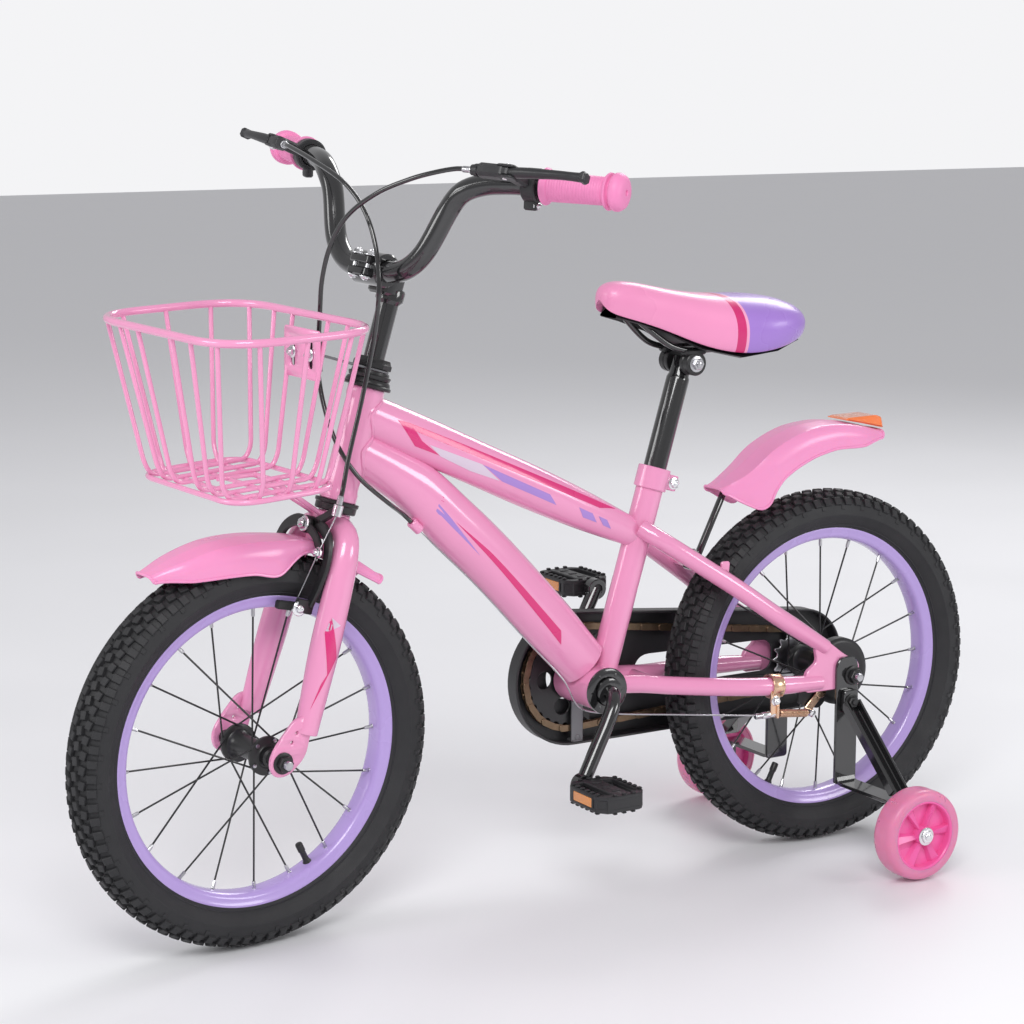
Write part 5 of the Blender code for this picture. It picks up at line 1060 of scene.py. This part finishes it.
def build_guard():
    form = Form()
    inside, outside, wall = -30.0, -47.6, 2.4
    outer, inner = belt(74, 58, 30), belt(71.6, 55.6, 30)
    form.slab([outer, inner], inside - outside, side_plane((inside + outside) / 2), 0.8)
    window = rounded([(30, 190), (30, 226), (216, 229), (226, 190)], 16)
    form.slab([belt(73.2, 57.2, 30), window, circle(9.5, 24, (0, AXLE_Z)), circle(26, 36, (BB.x, BB.z))], wall,
              side_plane(outside + wall / 2), 0.6)
    form.sweep([Vector((x, inside, z)) for x, z in belt(73, 57, 30)], 1.5, 10, cyclic=True)
    form.block((303, inside - 3, 168.5), (15, 2.5, 49), Z, X, 1, 0.5, slot=1)
    form.block((303, -37, 146), (13, 13, 3), Z, X, 1.5, 0.6, slot=1)
    form.bolt((303, inside - 1.6, 150), Y, 3.4, 1.2, 1, washer=False, dome=True)
    form.piece("chain_guard_pan", "frame", [PLASTIC, GREY], "chain_guard", slot="black_plastic")


def build_pedal(side, word):
    """A toothed cage round a barrel, with amber lenses front and rear."""
    form = Form()
    centre = crank_end(side) + Y * side * 46
    half_x, half_y, tall = 29.0, 37.0, 22.0
    outline = [(-half_x, -half_y + 12), (-half_x + 9, -half_y + 1), (half_x - 9, -half_y + 1),
               (half_x, -half_y + 12), (half_x, half_y - 12), (half_x - 9, half_y - 1), (-half_x + 9, half_y - 1),
               (-half_x, half_y - 12)]
    windows = [[(s * 10, -half_y + 9), (s * (half_x - 6), -half_y + 13), (s * (half_x - 6), half_y - 13),
                (s * 10, half_y - 9)] for s in (1, -1)]
    plates = [rounded(line, 3, 2) for line in (outline, *windows)]
    for face in (1, -1):
        form.slab(plates, 5, axes(centre + Z * face * (tall / 2 - 4.6), Z, X), 1.0)
    for s in (1, -1):
        form.block(centre + X * s * (half_x - 2.6), (4, half_y * 2 - 22, tall - 5), Z, X, 1.2, 0.8)
        form.block(centre + Y * s * (half_y - 3.4), (half_x * 2 - 16, 4, tall - 5), Z, X, 1.2, 0.8)
        for k in (1, -1):
            form.block(centre + X * s * (half_x - 6.8) + Y * k * (half_y - 8.2), (15, 4, tall - 5), Z,
                       Vector((1, -s * k * 1.2, 0)), 1.2, 0.8)
        lens = centre + X * s * (half_x - 0.3)
        form.block(lens, (1.6, 34, 10), Z, X, 0.5, 0.4, slot=1)
        for z in (6.4, -6.4):
            form.block(lens + Z * z, (1.8, 39, 2.4), Z, X, 0.6, 0.4)
        for y in (18.4, -18.4):
            form.block(lens + Y * y, (1.8, 2.4, 13), Z, X, 0.6, 0.4)
        for face in (1, -1):
            level = centre + Z * face * (tall / 2 - 1.1)
            for k in range(6):
                tooth = level + X * s * (half_x - 3.2) + Y * (k - 2.5) * 9.2
                form.block(tooth, (4.6, 4.6, 2.2), Z, X, 1.0, 0.8)
            for k in range(3):
                form.block(level + X * (k - 1) * 11 + Y * s * (half_y - 3.6), (4.6, 4.2, 2.2), Z, X, 1.0, 0.8)
    form.rod(centre - Y * (half_y - 3), centre + Y * (half_y - 3), 9.2, 28, 1.0)
    for face in (1, -1):
        for y in (-18, 0, 18):
            form.block(centre + Y * y + Z * face * 8.4, (10, 5, 3), Z, X, 1.5, 0.8)
    form.rod(crank_end(side) - Y * side * 5, centre - Y * side * (half_y - 2), 5.9, 24)
    form.slab([circle(7.0, 6)], 4, axes(crank_end(side) + Y * side * 9.4, Y), 0.5, slot=2)
    form.piece("pedal_cage_" + word, "pedal_" + word, [PLASTIC, AMBER, STEEL], "pedal_" + word,
               slot="black_plastic")


# Stabilisers
def build_stabiliser(side, word):
    out = Y * side
    form = Form()
    upright = [(-8, 78), (22, 78), (22, 216), (16, 224), (-2, 224), (-8, 216)]
    slot_hole = [(x + 7, y) for x, y in rounded([(-4.5, 168), (4.5, 168), (4.5, 181), (-4.5, 181)], 4.4)]
    form.slab([rounded(upright, 5), circle(5.0, 20, (0, AXLE_Z)), slot_hole], 4, side_plane(side * 63.8), 0.8)
    path = [(63.8, 86), (66, 80.6), (72, 79.6), (150, 79.6), (158, 78.6), (161.6, 74), (162, 66), (162, 38)]
    path = [Vector((6.5, y, z)) for y, z in path]
    strip = [(-13, -1.4), (-12.4, -2), (12.4, -2), (13, -1.4), (13, 1.4), (12.4, 2), (-12.4, 2), (-13, 1.4)]
    loops = []
    for k, place in enumerate(path):
        run = (path[min(k + 1, len(path) - 1)] - path[max(k - 1, 0)]).normalized()
        up = Vector((0, -run.z, run.y))
        loops.append(on_side([place + X * a + up * b for a, b in strip], side))
    form.rings(loops)
    place = Vector((4, side * 160, ROLLER_Z))
    form.rod(place, place + out * 43, 4, 20, slot=1)
    form.bolt(place + out * 42.8, out, 7.4, 3.0, 1)
    form.bolt(place - out * 0.2, -out, 7.4, 5.0, 1)
    form.piece("stabiliser_arm_" + word, "frame", [BLACK, CHROME], "stabiliser_bracket_" + word,
               slot="black_paint")
    form = Form()
    top, low = Vector((6, side * 71, 172)), Vector((6, side * 157.5, 90))
    outward = (low - top).normalized().cross(X) * side
    if outward.y * side < 0:
        outward.negate()
    section = [(-11, 5.2), (-11, -4.6), (-10, -5.5), (10, -5.5), (11, -4.6), (11, 5.2), (10.6, 5.5), (8.6, 5.5),
               (8.2, 5.2), (8.2, -2.2), (7.2, -3.0), (-7.2, -3.0), (-8.2, -2.2), (-8.2, 5.2), (-8.6, 5.5),
               (-10.6, 5.5)]
    form.rings([[place + X * a + outward * b for a, b in section] for place in (top, low)])
    form.block((6, side * 69.2, 174), (20, 26, 6), Y, X, 5, 1)
    form.bolt((6, side * 72.4, 174), out, 6.6, 4.2, 1)
    form.piece("stabiliser_strut_" + word, "frame", [BLACK, SATIN], "stabiliser_brace_" + word, slot="black_paint",
               sharp=30)
    form = Form()
    centre = Vector((4, side * 187, ROLLER_Z))
    tyre = [(38.4, -14.4), (41, -15), (43, -15), (43.6, -13.8), (44.6, -13.8), (45.2, -14.6), (47, -14.2),
            (48.6, -12.6), (49.6, -10), (50, -7), (50, 7), (49.6, 10), (48.6, 12.6), (46.6, 14.4), (44, 15),
            (41, 15), (38.4, 14.4)]
    form.lathe(tyre, centre, out, 96, closed=True, slot=1)
    disc = [(4.7, -21), (9.4, -21), (10, -20.4), (10, -7), (37.6, -7), (38.4, -14), (39, -14), (39, 14),
            (36.6, 14.2), (35.6, 13), (35, 5), (10, 5), (10, 13.2), (9.2, 14.6), (4.7, 14.6)]
    form.lathe(disc, centre, out, 96, closed=True)
    for a in full_turn(6):
        along = in_wheel(a).cross(Y)
        loops = []
        for r, half, lift in ((8, 2.6, 12.8), (20, 4.2, 12.0), (36, 7.2, 11.4)):
            rib = [(-1, 3.5), (-0.94, lift - 0.8), (-0.82, lift), (0.35, lift - 2.6), (1, 3.5)]
            loops.append([centre + in_wheel(a) * r + along * half * w + out * h for w, h in rib])
        form.rings(loops)
    form.piece("stabiliser_roller_" + word, "stabiliser_wheel_" + word, [HUB_PINK, SOFT_PINK],
               "stabiliser_wheel_" + word, slot="pink_plastic")


# Brakes; an arm's places are out and up from the head's foot
BOW = [(0, -27), (18, -25.5), (36, -36), (43, -58), (40, -82), (33, -104)]


def arm(form, line, wide, forward):
    """A flat brake arm along (side, up) places, drawn smooth."""
    route = smooth_route([(a, b, 0) for a, b in line], 3)
    left, right = [], []
    for i, (point, width) in enumerate(zip(route, spread(wide, len(route)))):
        run = (route[min(i + 1, len(route) - 1)] - route[max(i - 1, 0)]).normalized()
        left.append((point.x - run.y * width / 2, point.y + run.x * width / 2))
        right.append((point.x + run.y * width / 2, point.y - run.x * width / 2))
    matrix = Matrix((Y, HEAD_UP, HEAD_FORWARD)).transposed().to_4x4()
    matrix.translation = on_head(0, forward + ARM_THICK / 2)
    form.slab([left + right[::-1]], ARM_THICK, matrix, 1.2)


def build_front_brake():
    form = Form()
    form.rod(on_head(-27, -26), on_head(-27, 37), 3.0, 20)
    form.bolt(on_head(-27, 31.9), HEAD_FORWARD, 6, 4)
    form.bolt(on_head(-27, -17.6), -HEAD_FORWARD, 6, 5)
    form.piece("caliper_centre_bolt", "steering", CHROME, "caliper_bolt", turn=STEER, slot="bright_steel")
    for side, word in SIDES:
        form = Form()
        forward = 21.6 if side > 0 else 26.9
        middle = forward + ARM_THICK / 2
        arm(form, [(y * side, t) for y, t in BOW], [14, 12, 11.5, 11, 10.5, 10], forward)
        form.lathe([(3.4, 0), (8.2, 0), (9, 0.8), (9, 3.8), (8.2, 4.6), (3.4, 4.6)], on_head(-27, forward),
                   HEAD_FORWARD, 32, closed=True)
        if side > 0:
            arm(form, [(6, -24), (24, -14), (36, -6)], [10, 9, 9], forward)
            form.lathe([(2.7, -12), (4.4, -12), (5, -11.4), (5, -0.6), (4.4, 0), (2.7, 0)],
                       on_head(0, middle - 1.5, 37), HEAD_UP, 24, closed=True, slot=1)
        else:
            arm(form, [(-4, -28), (10, -31), (24, -38), (35, -50)], [10, 9, 9, 9], forward)
            form.bolt(on_head(-51, forward + ARM_THICK, 36), HEAD_FORWARD, 4.6, 3.4, 1)
        form.block(on_head(-105.5, (middle + PAD_FORWARD) / 2, 33.2 * side), (PAD_FORWARD - middle + 8, 5, 14),
                   HEAD_UP, HEAD_FORWARD, 2, 1)
        centre = on_head(PAD_UP, PAD_FORWARD, 31 * side)
        form.lathe([(4.4, 0), (7.4, 0), (7.8, 0.6), (7.8, 1.6), (7, 2.2), (4.4, 2.2)], centre + Y * side * 2,
                   Y * side, 28, closed=True, slot=1)
        form.bolt(centre + Y * side * 4.2, Y * side, 4.8, 4, 1, washer=False, dome=True)
        form.piece("caliper_side_" + word, "caliper_" + word, [SATIN, CHROME], "caliper_arm_" + word, turn=STEER,
                   slot="black_paint")
        form = Form()
        centre = on_head(PAD_UP, PAD_FORWARD, side * 21.5)
        out = centre - FRONT_AXLE
        out.y = 0
        out.normalize()
        along = Y.cross(out).normalized()
        form.block(centre, (38, 8.4, 8.5), out, along, 2.4, 1.2)
        for k in (-9, 0, 9):
            form.block(centre - Y * side * 4 + along * k, (6, 1.6, 8.3), out, along, 0.6, 0.5)
        form.rod(centre, on_head(PAD_UP, PAD_FORWARD, side * 30.2), 4, 20, slot=1)
        form.piece("pad_shoe_" + word, "caliper_" + word, [RUBBER, STEEL], "brake_pad_" + word, turn=STEER,
                   slot="black_rubber")


def build_rear_brake():
    form = Form()
    form.lathe([(35.5, 31), (36.8, 31), (38, 32), (38, 41.6), (36.6, 43.6), (33.4, 45), (30, 45), (28.6, 44.2),
                (14, 44.2), (13, 45), (8.8, 45), (8.8, 42.4), (35.5, 42.4)], REAR_AXLE, Y, 72, closed=True)
    form.slab([rounded([(20, 172), (30, 192), (58, 190), (60, 172), (30, 163)], 5)], 2.2, side_plane(43.6), 0.5)
    form.piece("drum_cover", "frame", SATIN, "band_brake_cover", slot="black_paint")
    form = Form()
    pivot, end = Vector((30, 47, 183)), Vector((50, 54, 163))
    low = Vector((end.x, pivot.y, end.z))
    form.lathe([(0, 0), (6.4, 0), (7, 0.6), (7, 2.7), (6.4, 3.3), (0, 3.3)], pivot - Y * 1.5, Y, 24)
    form.block((pivot + low) / 2, ((low - pivot).length, 10, 2.6), Y, low - pivot, 3, 0.6)
    form.rod((end.x, 45.5, end.z), (end.x, 60, end.z), 4.2, 20, slot=1)
    form.bolt((end.x, 58.6, end.z), Y, 3.6, 1.2, 1, washer=False, dome=True)
    form.piece("brake_arm_link", "rear_brake_arm", [COPPER, CHROME], "rear_brake_arm", slot="copper_plate")
    form = Form()
    along = Vector((1, -0.06, 0.06)).normalized()
    centre = Vector((104, 57.8, 201.4))
    form.lathe(collar(11.1, 13.2, 7, 0.6, 1), centre, along, 40, closed=True)
    turn = axes((0, 0, 0), along).to_3x3()
    for s in (-6.6, 6.6):
        ring = [centre + along * s + turn @ Vector((x, y, 0)) for x, y in circle(12.6, 32)]
        form.sweep(ring, 0.9, 8, cyclic=True)
    form.block((108, 66, 185), (12, 3, 28), Z, X, 1.2, 0.5)
    form.bolt((108, 67.2, 187), Y, 4.2, 3.4, 1)
    form.block((105.5, 64, 174), (3, 11, 14), Z, X, 1, 0.5)
    form.lathe([(2.6, 0), (3.6, 0), (3.6, 6), (3.2, 6.6), (3.2, 8), (3.8, 8.6), (3.8, 17), (3.2, 18), (2.6, 18)],
               (106, 64, 171.5), X, 24, closed=True, slot=1)
    form.piece("anchor_strap", "frame", [COPPER, CHROME], "brake_anchor_clamp", slot="copper_plate")
    form = Form()
    start, end = Vector((103.7, 64, 171.5)), Vector((54.7, 57.5, 164))
    axis = (end - start).normalized()
    turn = axes(start, axis, Z).to_3x3()
    points = [start]
    coils, steps = 24, 16
    long = (end - start).length - 3.2
    for i in range(coils * steps + 1):
        a = 2 * math.pi * i / steps
        grow = 3.8 * min(1, i / steps, (coils * steps - i) / steps)
        height = 1.6 + long * i / (coils * steps)
        points.append(start + turn @ Vector((grow * math.cos(a), grow * math.sin(a), height)))
    points.append(end)
    form.sweep(points, 0.72, 6)
    form.piece("return_spring", "frame", COPPER, "rear_brake_spring", slot="bright_steel")


# Saddle; each station is x, half width, top, edge and underside
STATIONS = [(299, 11, 642, 623, 631), (287, 20, 651, 615, 630), (262, 26, 650.5, 608, 626),
            (225, 32, 642, 595, 616), (190, 45.5, 635.5, 578, 607), (148, 64.5, 631.5, 568, 601.5),
            (105, 70, 631, 573, 600), (72, 61, 624.5, 583, 599.5), (52, 36, 609, 591, 600)]
RAIL = [(268, 8, 620.5), (256, 13, 608), (225, 20, 583), (205, 21, 575.5), (186, 21, 573.8), (150, 21, 575),
        (110, 22, 584), (92, 22, 591.5)]


def cushion_ring(station):
    """One cross-section of the cushion: crowned top, drawn-in sides, hollow underside."""
    x, wide, top, edge, under = station
    tall = top - edge
    half = [(0.0, top), (0.35 * wide, top - 0.012 * tall), (0.68 * wide, top - 0.08 * tall),
            (0.93 * wide, top - 0.26 * tall), (1.03 * wide, top - 0.5 * tall), (1.0 * wide, top - 0.76 * tall),
            (0.92 * wide, edge + 0.02 * tall), (0.82 * wide, edge), (0.6 * wide, under - 0.04 * tall), (0.0, under)]
    ring = [Vector((x, y, z)) for y, z in half]
    return ring + on_side(ring[-2:0:-1], -1)


def build_saddle():
    form = Form()
    form.rings([cushion_ring(station) for station in STATIONS])
    cushion = form.piece("saddle_pad", "saddle", COVER, "saddle_cushion", slot="saddle_cover", sharp=180)
    soft = cushion.modifiers.new("soft", "SUBSURF")
    soft.levels = soft.render_levels = 3
    form = Form()
    rings = []
    for x, wide, _, edge, under in STATIONS[1:-1]:
        half = [(0.74 * wide, edge + 0.4), (0.8 * wide, edge - 1.2), (0.72 * wide, edge - 2.4),
                (0.5 * wide, under - 7)]
        section = [(0, under - 4.6), *half, (0, under - 8), *[(-y, z) for y, z in reversed(half)]]
        rings.append([Vector((x, y, z)) for y, z in section])
    form.rings(rings)
    for side in (1, -1):
        form.sweep(smooth_route(on_side(RAIL, side), 5), 3.4, 16, slot=1, ease=0.5)
    form.block((262, 0, 617), (22, 24, 7), Z, X, 5, 2)
    for side in (1, -1):
        form.block((96, 22 * side, 591), (24, 16, 9), Z, X, 5, 2)
    form.piece("saddle_shell", "saddle", [PLASTIC, BLACK], "saddle_base", slot="black_plastic")
    centre = SEAT_HIGH + SEAT_UP * ((560 - SEAT_HIGH.z) / SEAT_UP.z)
    form = Form()
    form.rod(centre - Y * 32, centre + Y * 32, 4.2, 24, slot=1)
    for side in (1, -1):
        form.lathe([(4.3, 11.8), (12, 11.8), (13, 12.8), (13, 16.5), (11.8, 17.6), (11.8, 18.6), (13, 19.6),
                    (13, 26), (12, 27), (4.3, 27)], centre, Y * side, 28, closed=True)
        form.block(centre + Y * side * 21 + Z * 12.5, (26, 13, 6), Z, X, 3, 1.4)
        form.bolt(centre + Y * side * 27, Y * side, 6.6, 4.4, 1)
    form.piece("saddle_clamp_stack", "saddle", [SATIN, STEEL], "saddle_clamp", slot="steel")
    form = Form()
    form.lathe([(0, -110), (12.7, -110), (12.7, 99), (12.2, 101.4), (11, 104), (11, 123), (10.4, 124), (0, 124)],
               SEAT_HIGH, SEAT_UP, 40)
    form.piece("seat_post_tube", "seatpost", BLACK, "seatpost", slot="black_paint")


# Cables
def turned(place, degrees):
    return HEAD + Matrix.Rotation(math.radians(degrees), 4, HEAD_UP) @ (Vector(place) - HEAD)


def adjuster_end(side):
    """The outer end of a lever's adjuster and the bar's direction there, before the steering's turn."""
    along = bar_direction(side)
    end = turned(lever_axis(side)[0] - along * 38.3, BAR - STEER)
    return end, Matrix.Rotation(math.radians(BAR - STEER), 4, HEAD_UP) @ along


def ferrule(form, place, axis, radius=3.1, long=7, end=2.5):
    form.lathe([(2.5, 0), (radius, 0), (radius, long), (end, long + 1)], place, axis, 20, closed=True, slot=1)


def build_cables():
    place, along = adjuster_end(-1)
    low = on_head(0.3, 22.4, 37)
    front = [place, place - along * 14, (594, -75, 780), (594.5, -18, 762.4), (592.5, 11.7, 742.4),
             (591, 29.6, 717.6), (591, 41, 686), (592, 44, 653.5), (592, 36.6, 613), (604, 33, 550), (621, 35, 492),
             low + HEAD_UP * 14, low]
    form = Form()
    form.sweep(smooth_route(front, 5), CABLE_R, 14)
    ferrule(form, place, -along)
    ferrule(form, low, HEAD_UP, 3.3, 8, 2.6)
    tail = [on_head(-12, 22.4, 37), on_head(-51, 31.5, 36), on_head(-95, 37, 30), on_head(-118, 39, 25)]
    form.sweep(tail, 0.7, 8, slot=1)
    form.piece("front_cable", "steering", [BLACK, STEEL], "front_brake_cable", turn=STEER, slot="black_rubber")
    place, along = adjuster_end(1)
    rear = [place, place - along * 14, (580, 121, 779.5), (593, 97.5, 771.7), (607, 61.7, 756.2), (616, 23, 731),
            (619.5, -1.2, 700), (621, -13.2, 666), (621.3, -16.5, 634), (622, -18, 600), (623.5, -16, 575),
            (624, -6, 545), (622, 10, 513), (615, 22, 490)]
    for fixed in ((597, 27, 468), (567, 24, 443), CABLE_STOP - STOP_RUN * 19, CABLE_STOP - STOP_RUN * 7.3):
        rear.append(turned(fixed, -STEER))
    form = Form()
    form.sweep(smooth_route(rear, 5), CABLE_R, 14)
    ferrule(form, place, -along)
    form.piece("rear_cable_front", "steering", [BLACK, STEEL], "rear_brake_cable_front", turn=STEER,
               slot="black_rubber")
    back = [CABLE_STOP + STOP_RUN * 7.3, CABLE_STOP + STOP_RUN * 16, (503.5, 5, 391), (452, 5, 341.5),
            (392.7, 5, 278), (347, 10, 228), (333, 18, 199), (309, 24, 190.5), (216, 44, 180.5), BARREL_END]
    form = Form()
    form.sweep(smooth_route(back, 5), WIRE_R, 10)
    form.lathe([(1, 0), (3.2, 0), (3.2, 8), (2.4, 9), (1, 9)], BARREL_END, X, 20, closed=True)
    form.piece("rear_cable_back", "frame", STEEL, "rear_brake_cable_rear", slot="black_rubber")


# Studio
FLOOR_PAINT = finish("studio_floor", (0.86, 0.86, 0.885), 0.5, grain=(60, 0.01), blotch=0.01, size=3)
LAMPS = (("key", (1.6, 2.4, 2.6), 1.8, 62), ("fill", (3.0, -0.6, 1.6), 1.6, 26),
         ("back", (-2.4, -1.6, 2.4), 1.6, 34), ("side", (-2.2, 2.6, 1.3), 1.2, 22))
PHOTO_SIDE, FOCAL_PIXELS, SENSOR = 1024, 2576.1, 36
CAMERA_PLACE, CAMERA_YAW, CAMERA_PITCH = (1.4230, 2.2730, 0.8813), -31.13, -9.97


def build_studio():
    floor = bpy.data.meshes.new("floor")
    form = bmesh.new()
    bmesh.ops.create_grid(form, x_segments=2, y_segments=2, size=14)
    form.to_mesh(floor)
    form.free()
    ground = bpy.data.objects.new("floor", floor)
    ground.location = (0, 0, -0.0006)
    floor.materials.append(FLOOR_PAINT)
    bpy.context.scene.collection.objects.link(ground)
    world = bpy.data.worlds.new("studio")
    bpy.context.scene.world = world
    world.use_nodes = True
    nodes, links = world.node_tree.nodes, world.node_tree.links
    sky = nodes["Background"]
    sky.inputs["Color"].default_value = (0.9, 0.9, 0.92, 1)
    sky.inputs["Strength"].default_value = 0.55
    seen = nodes.new("ShaderNodeBackground")
    seen.inputs["Color"].default_value = (0.905, 0.905, 0.92, 1)
    seen.inputs["Strength"].default_value = 1.0
    path = nodes.new("ShaderNodeLightPath")
    mix = nodes.new("ShaderNodeMixShader")
    links.new(path.outputs["Is Camera Ray"], mix.inputs[0])
    links.new(sky.outputs[0], mix.inputs[1])
    links.new(seen.outputs[0], mix.inputs[2])
    links.new(mix.outputs[0], nodes["World Output"].inputs["Surface"])
    for name, place, size, power in LAMPS:
        lamp = bpy.data.lights.new(name, "AREA")
        lamp.shape = "RECTANGLE"
        lamp.size = size
        lamp.size_y = size * 0.7
        lamp.energy = power
        light = bpy.data.objects.new(name, lamp)
        light.location = place
        light.rotation_euler = (Vector((0, 0, 0.35)) - Vector(place)).to_track_quat("-Z", "Y").to_euler()
        bpy.context.scene.collection.objects.link(light)


def build_camera():
    lens = bpy.data.cameras.new("camera")
    lens.sensor_width = SENSOR
    lens.lens = FOCAL_PIXELS / PHOTO_SIDE * SENSOR
    lens.clip_end = 60
    camera = bpy.data.objects.new("camera", lens)
    yaw, pitch = math.radians(CAMERA_YAW), math.radians(CAMERA_PITCH)
    forward = Vector((math.sin(yaw) * math.cos(pitch), -math.cos(yaw) * math.cos(pitch), math.sin(pitch)))
    right = forward.cross(Z).normalized()
    up = right.cross(forward)
    matrix = Matrix((right, up, -forward)).transposed().to_4x4()
    matrix.translation = Vector(CAMERA_PLACE)
    camera.matrix_world = matrix
    bpy.context.scene.collection.objects.link(camera)
    bpy.context.scene.camera = camera
    bpy.context.scene.view_settings.view_transform = "Standard"


COVER = saddle_cover()
build_camera()
build_studio()
build_wheels()
build_frame()
build_frame_stickers()
build_head_and_bottom()
build_seat_clamp()
build_fork()
build_bar_and_stem()
for hand, label in SIDES:
    build_grip(hand, label)
    build_lever_mount(hand, label)
    build_lever(hand, label)
    build_pedal(hand, label)
    build_stabiliser(hand, label)
build_basket()
build_mudguards()
build_crank()
build_chainrings()
build_chain()
build_guard()
build_front_brake()
build_rear_brake()
build_saddle()
build_cables()
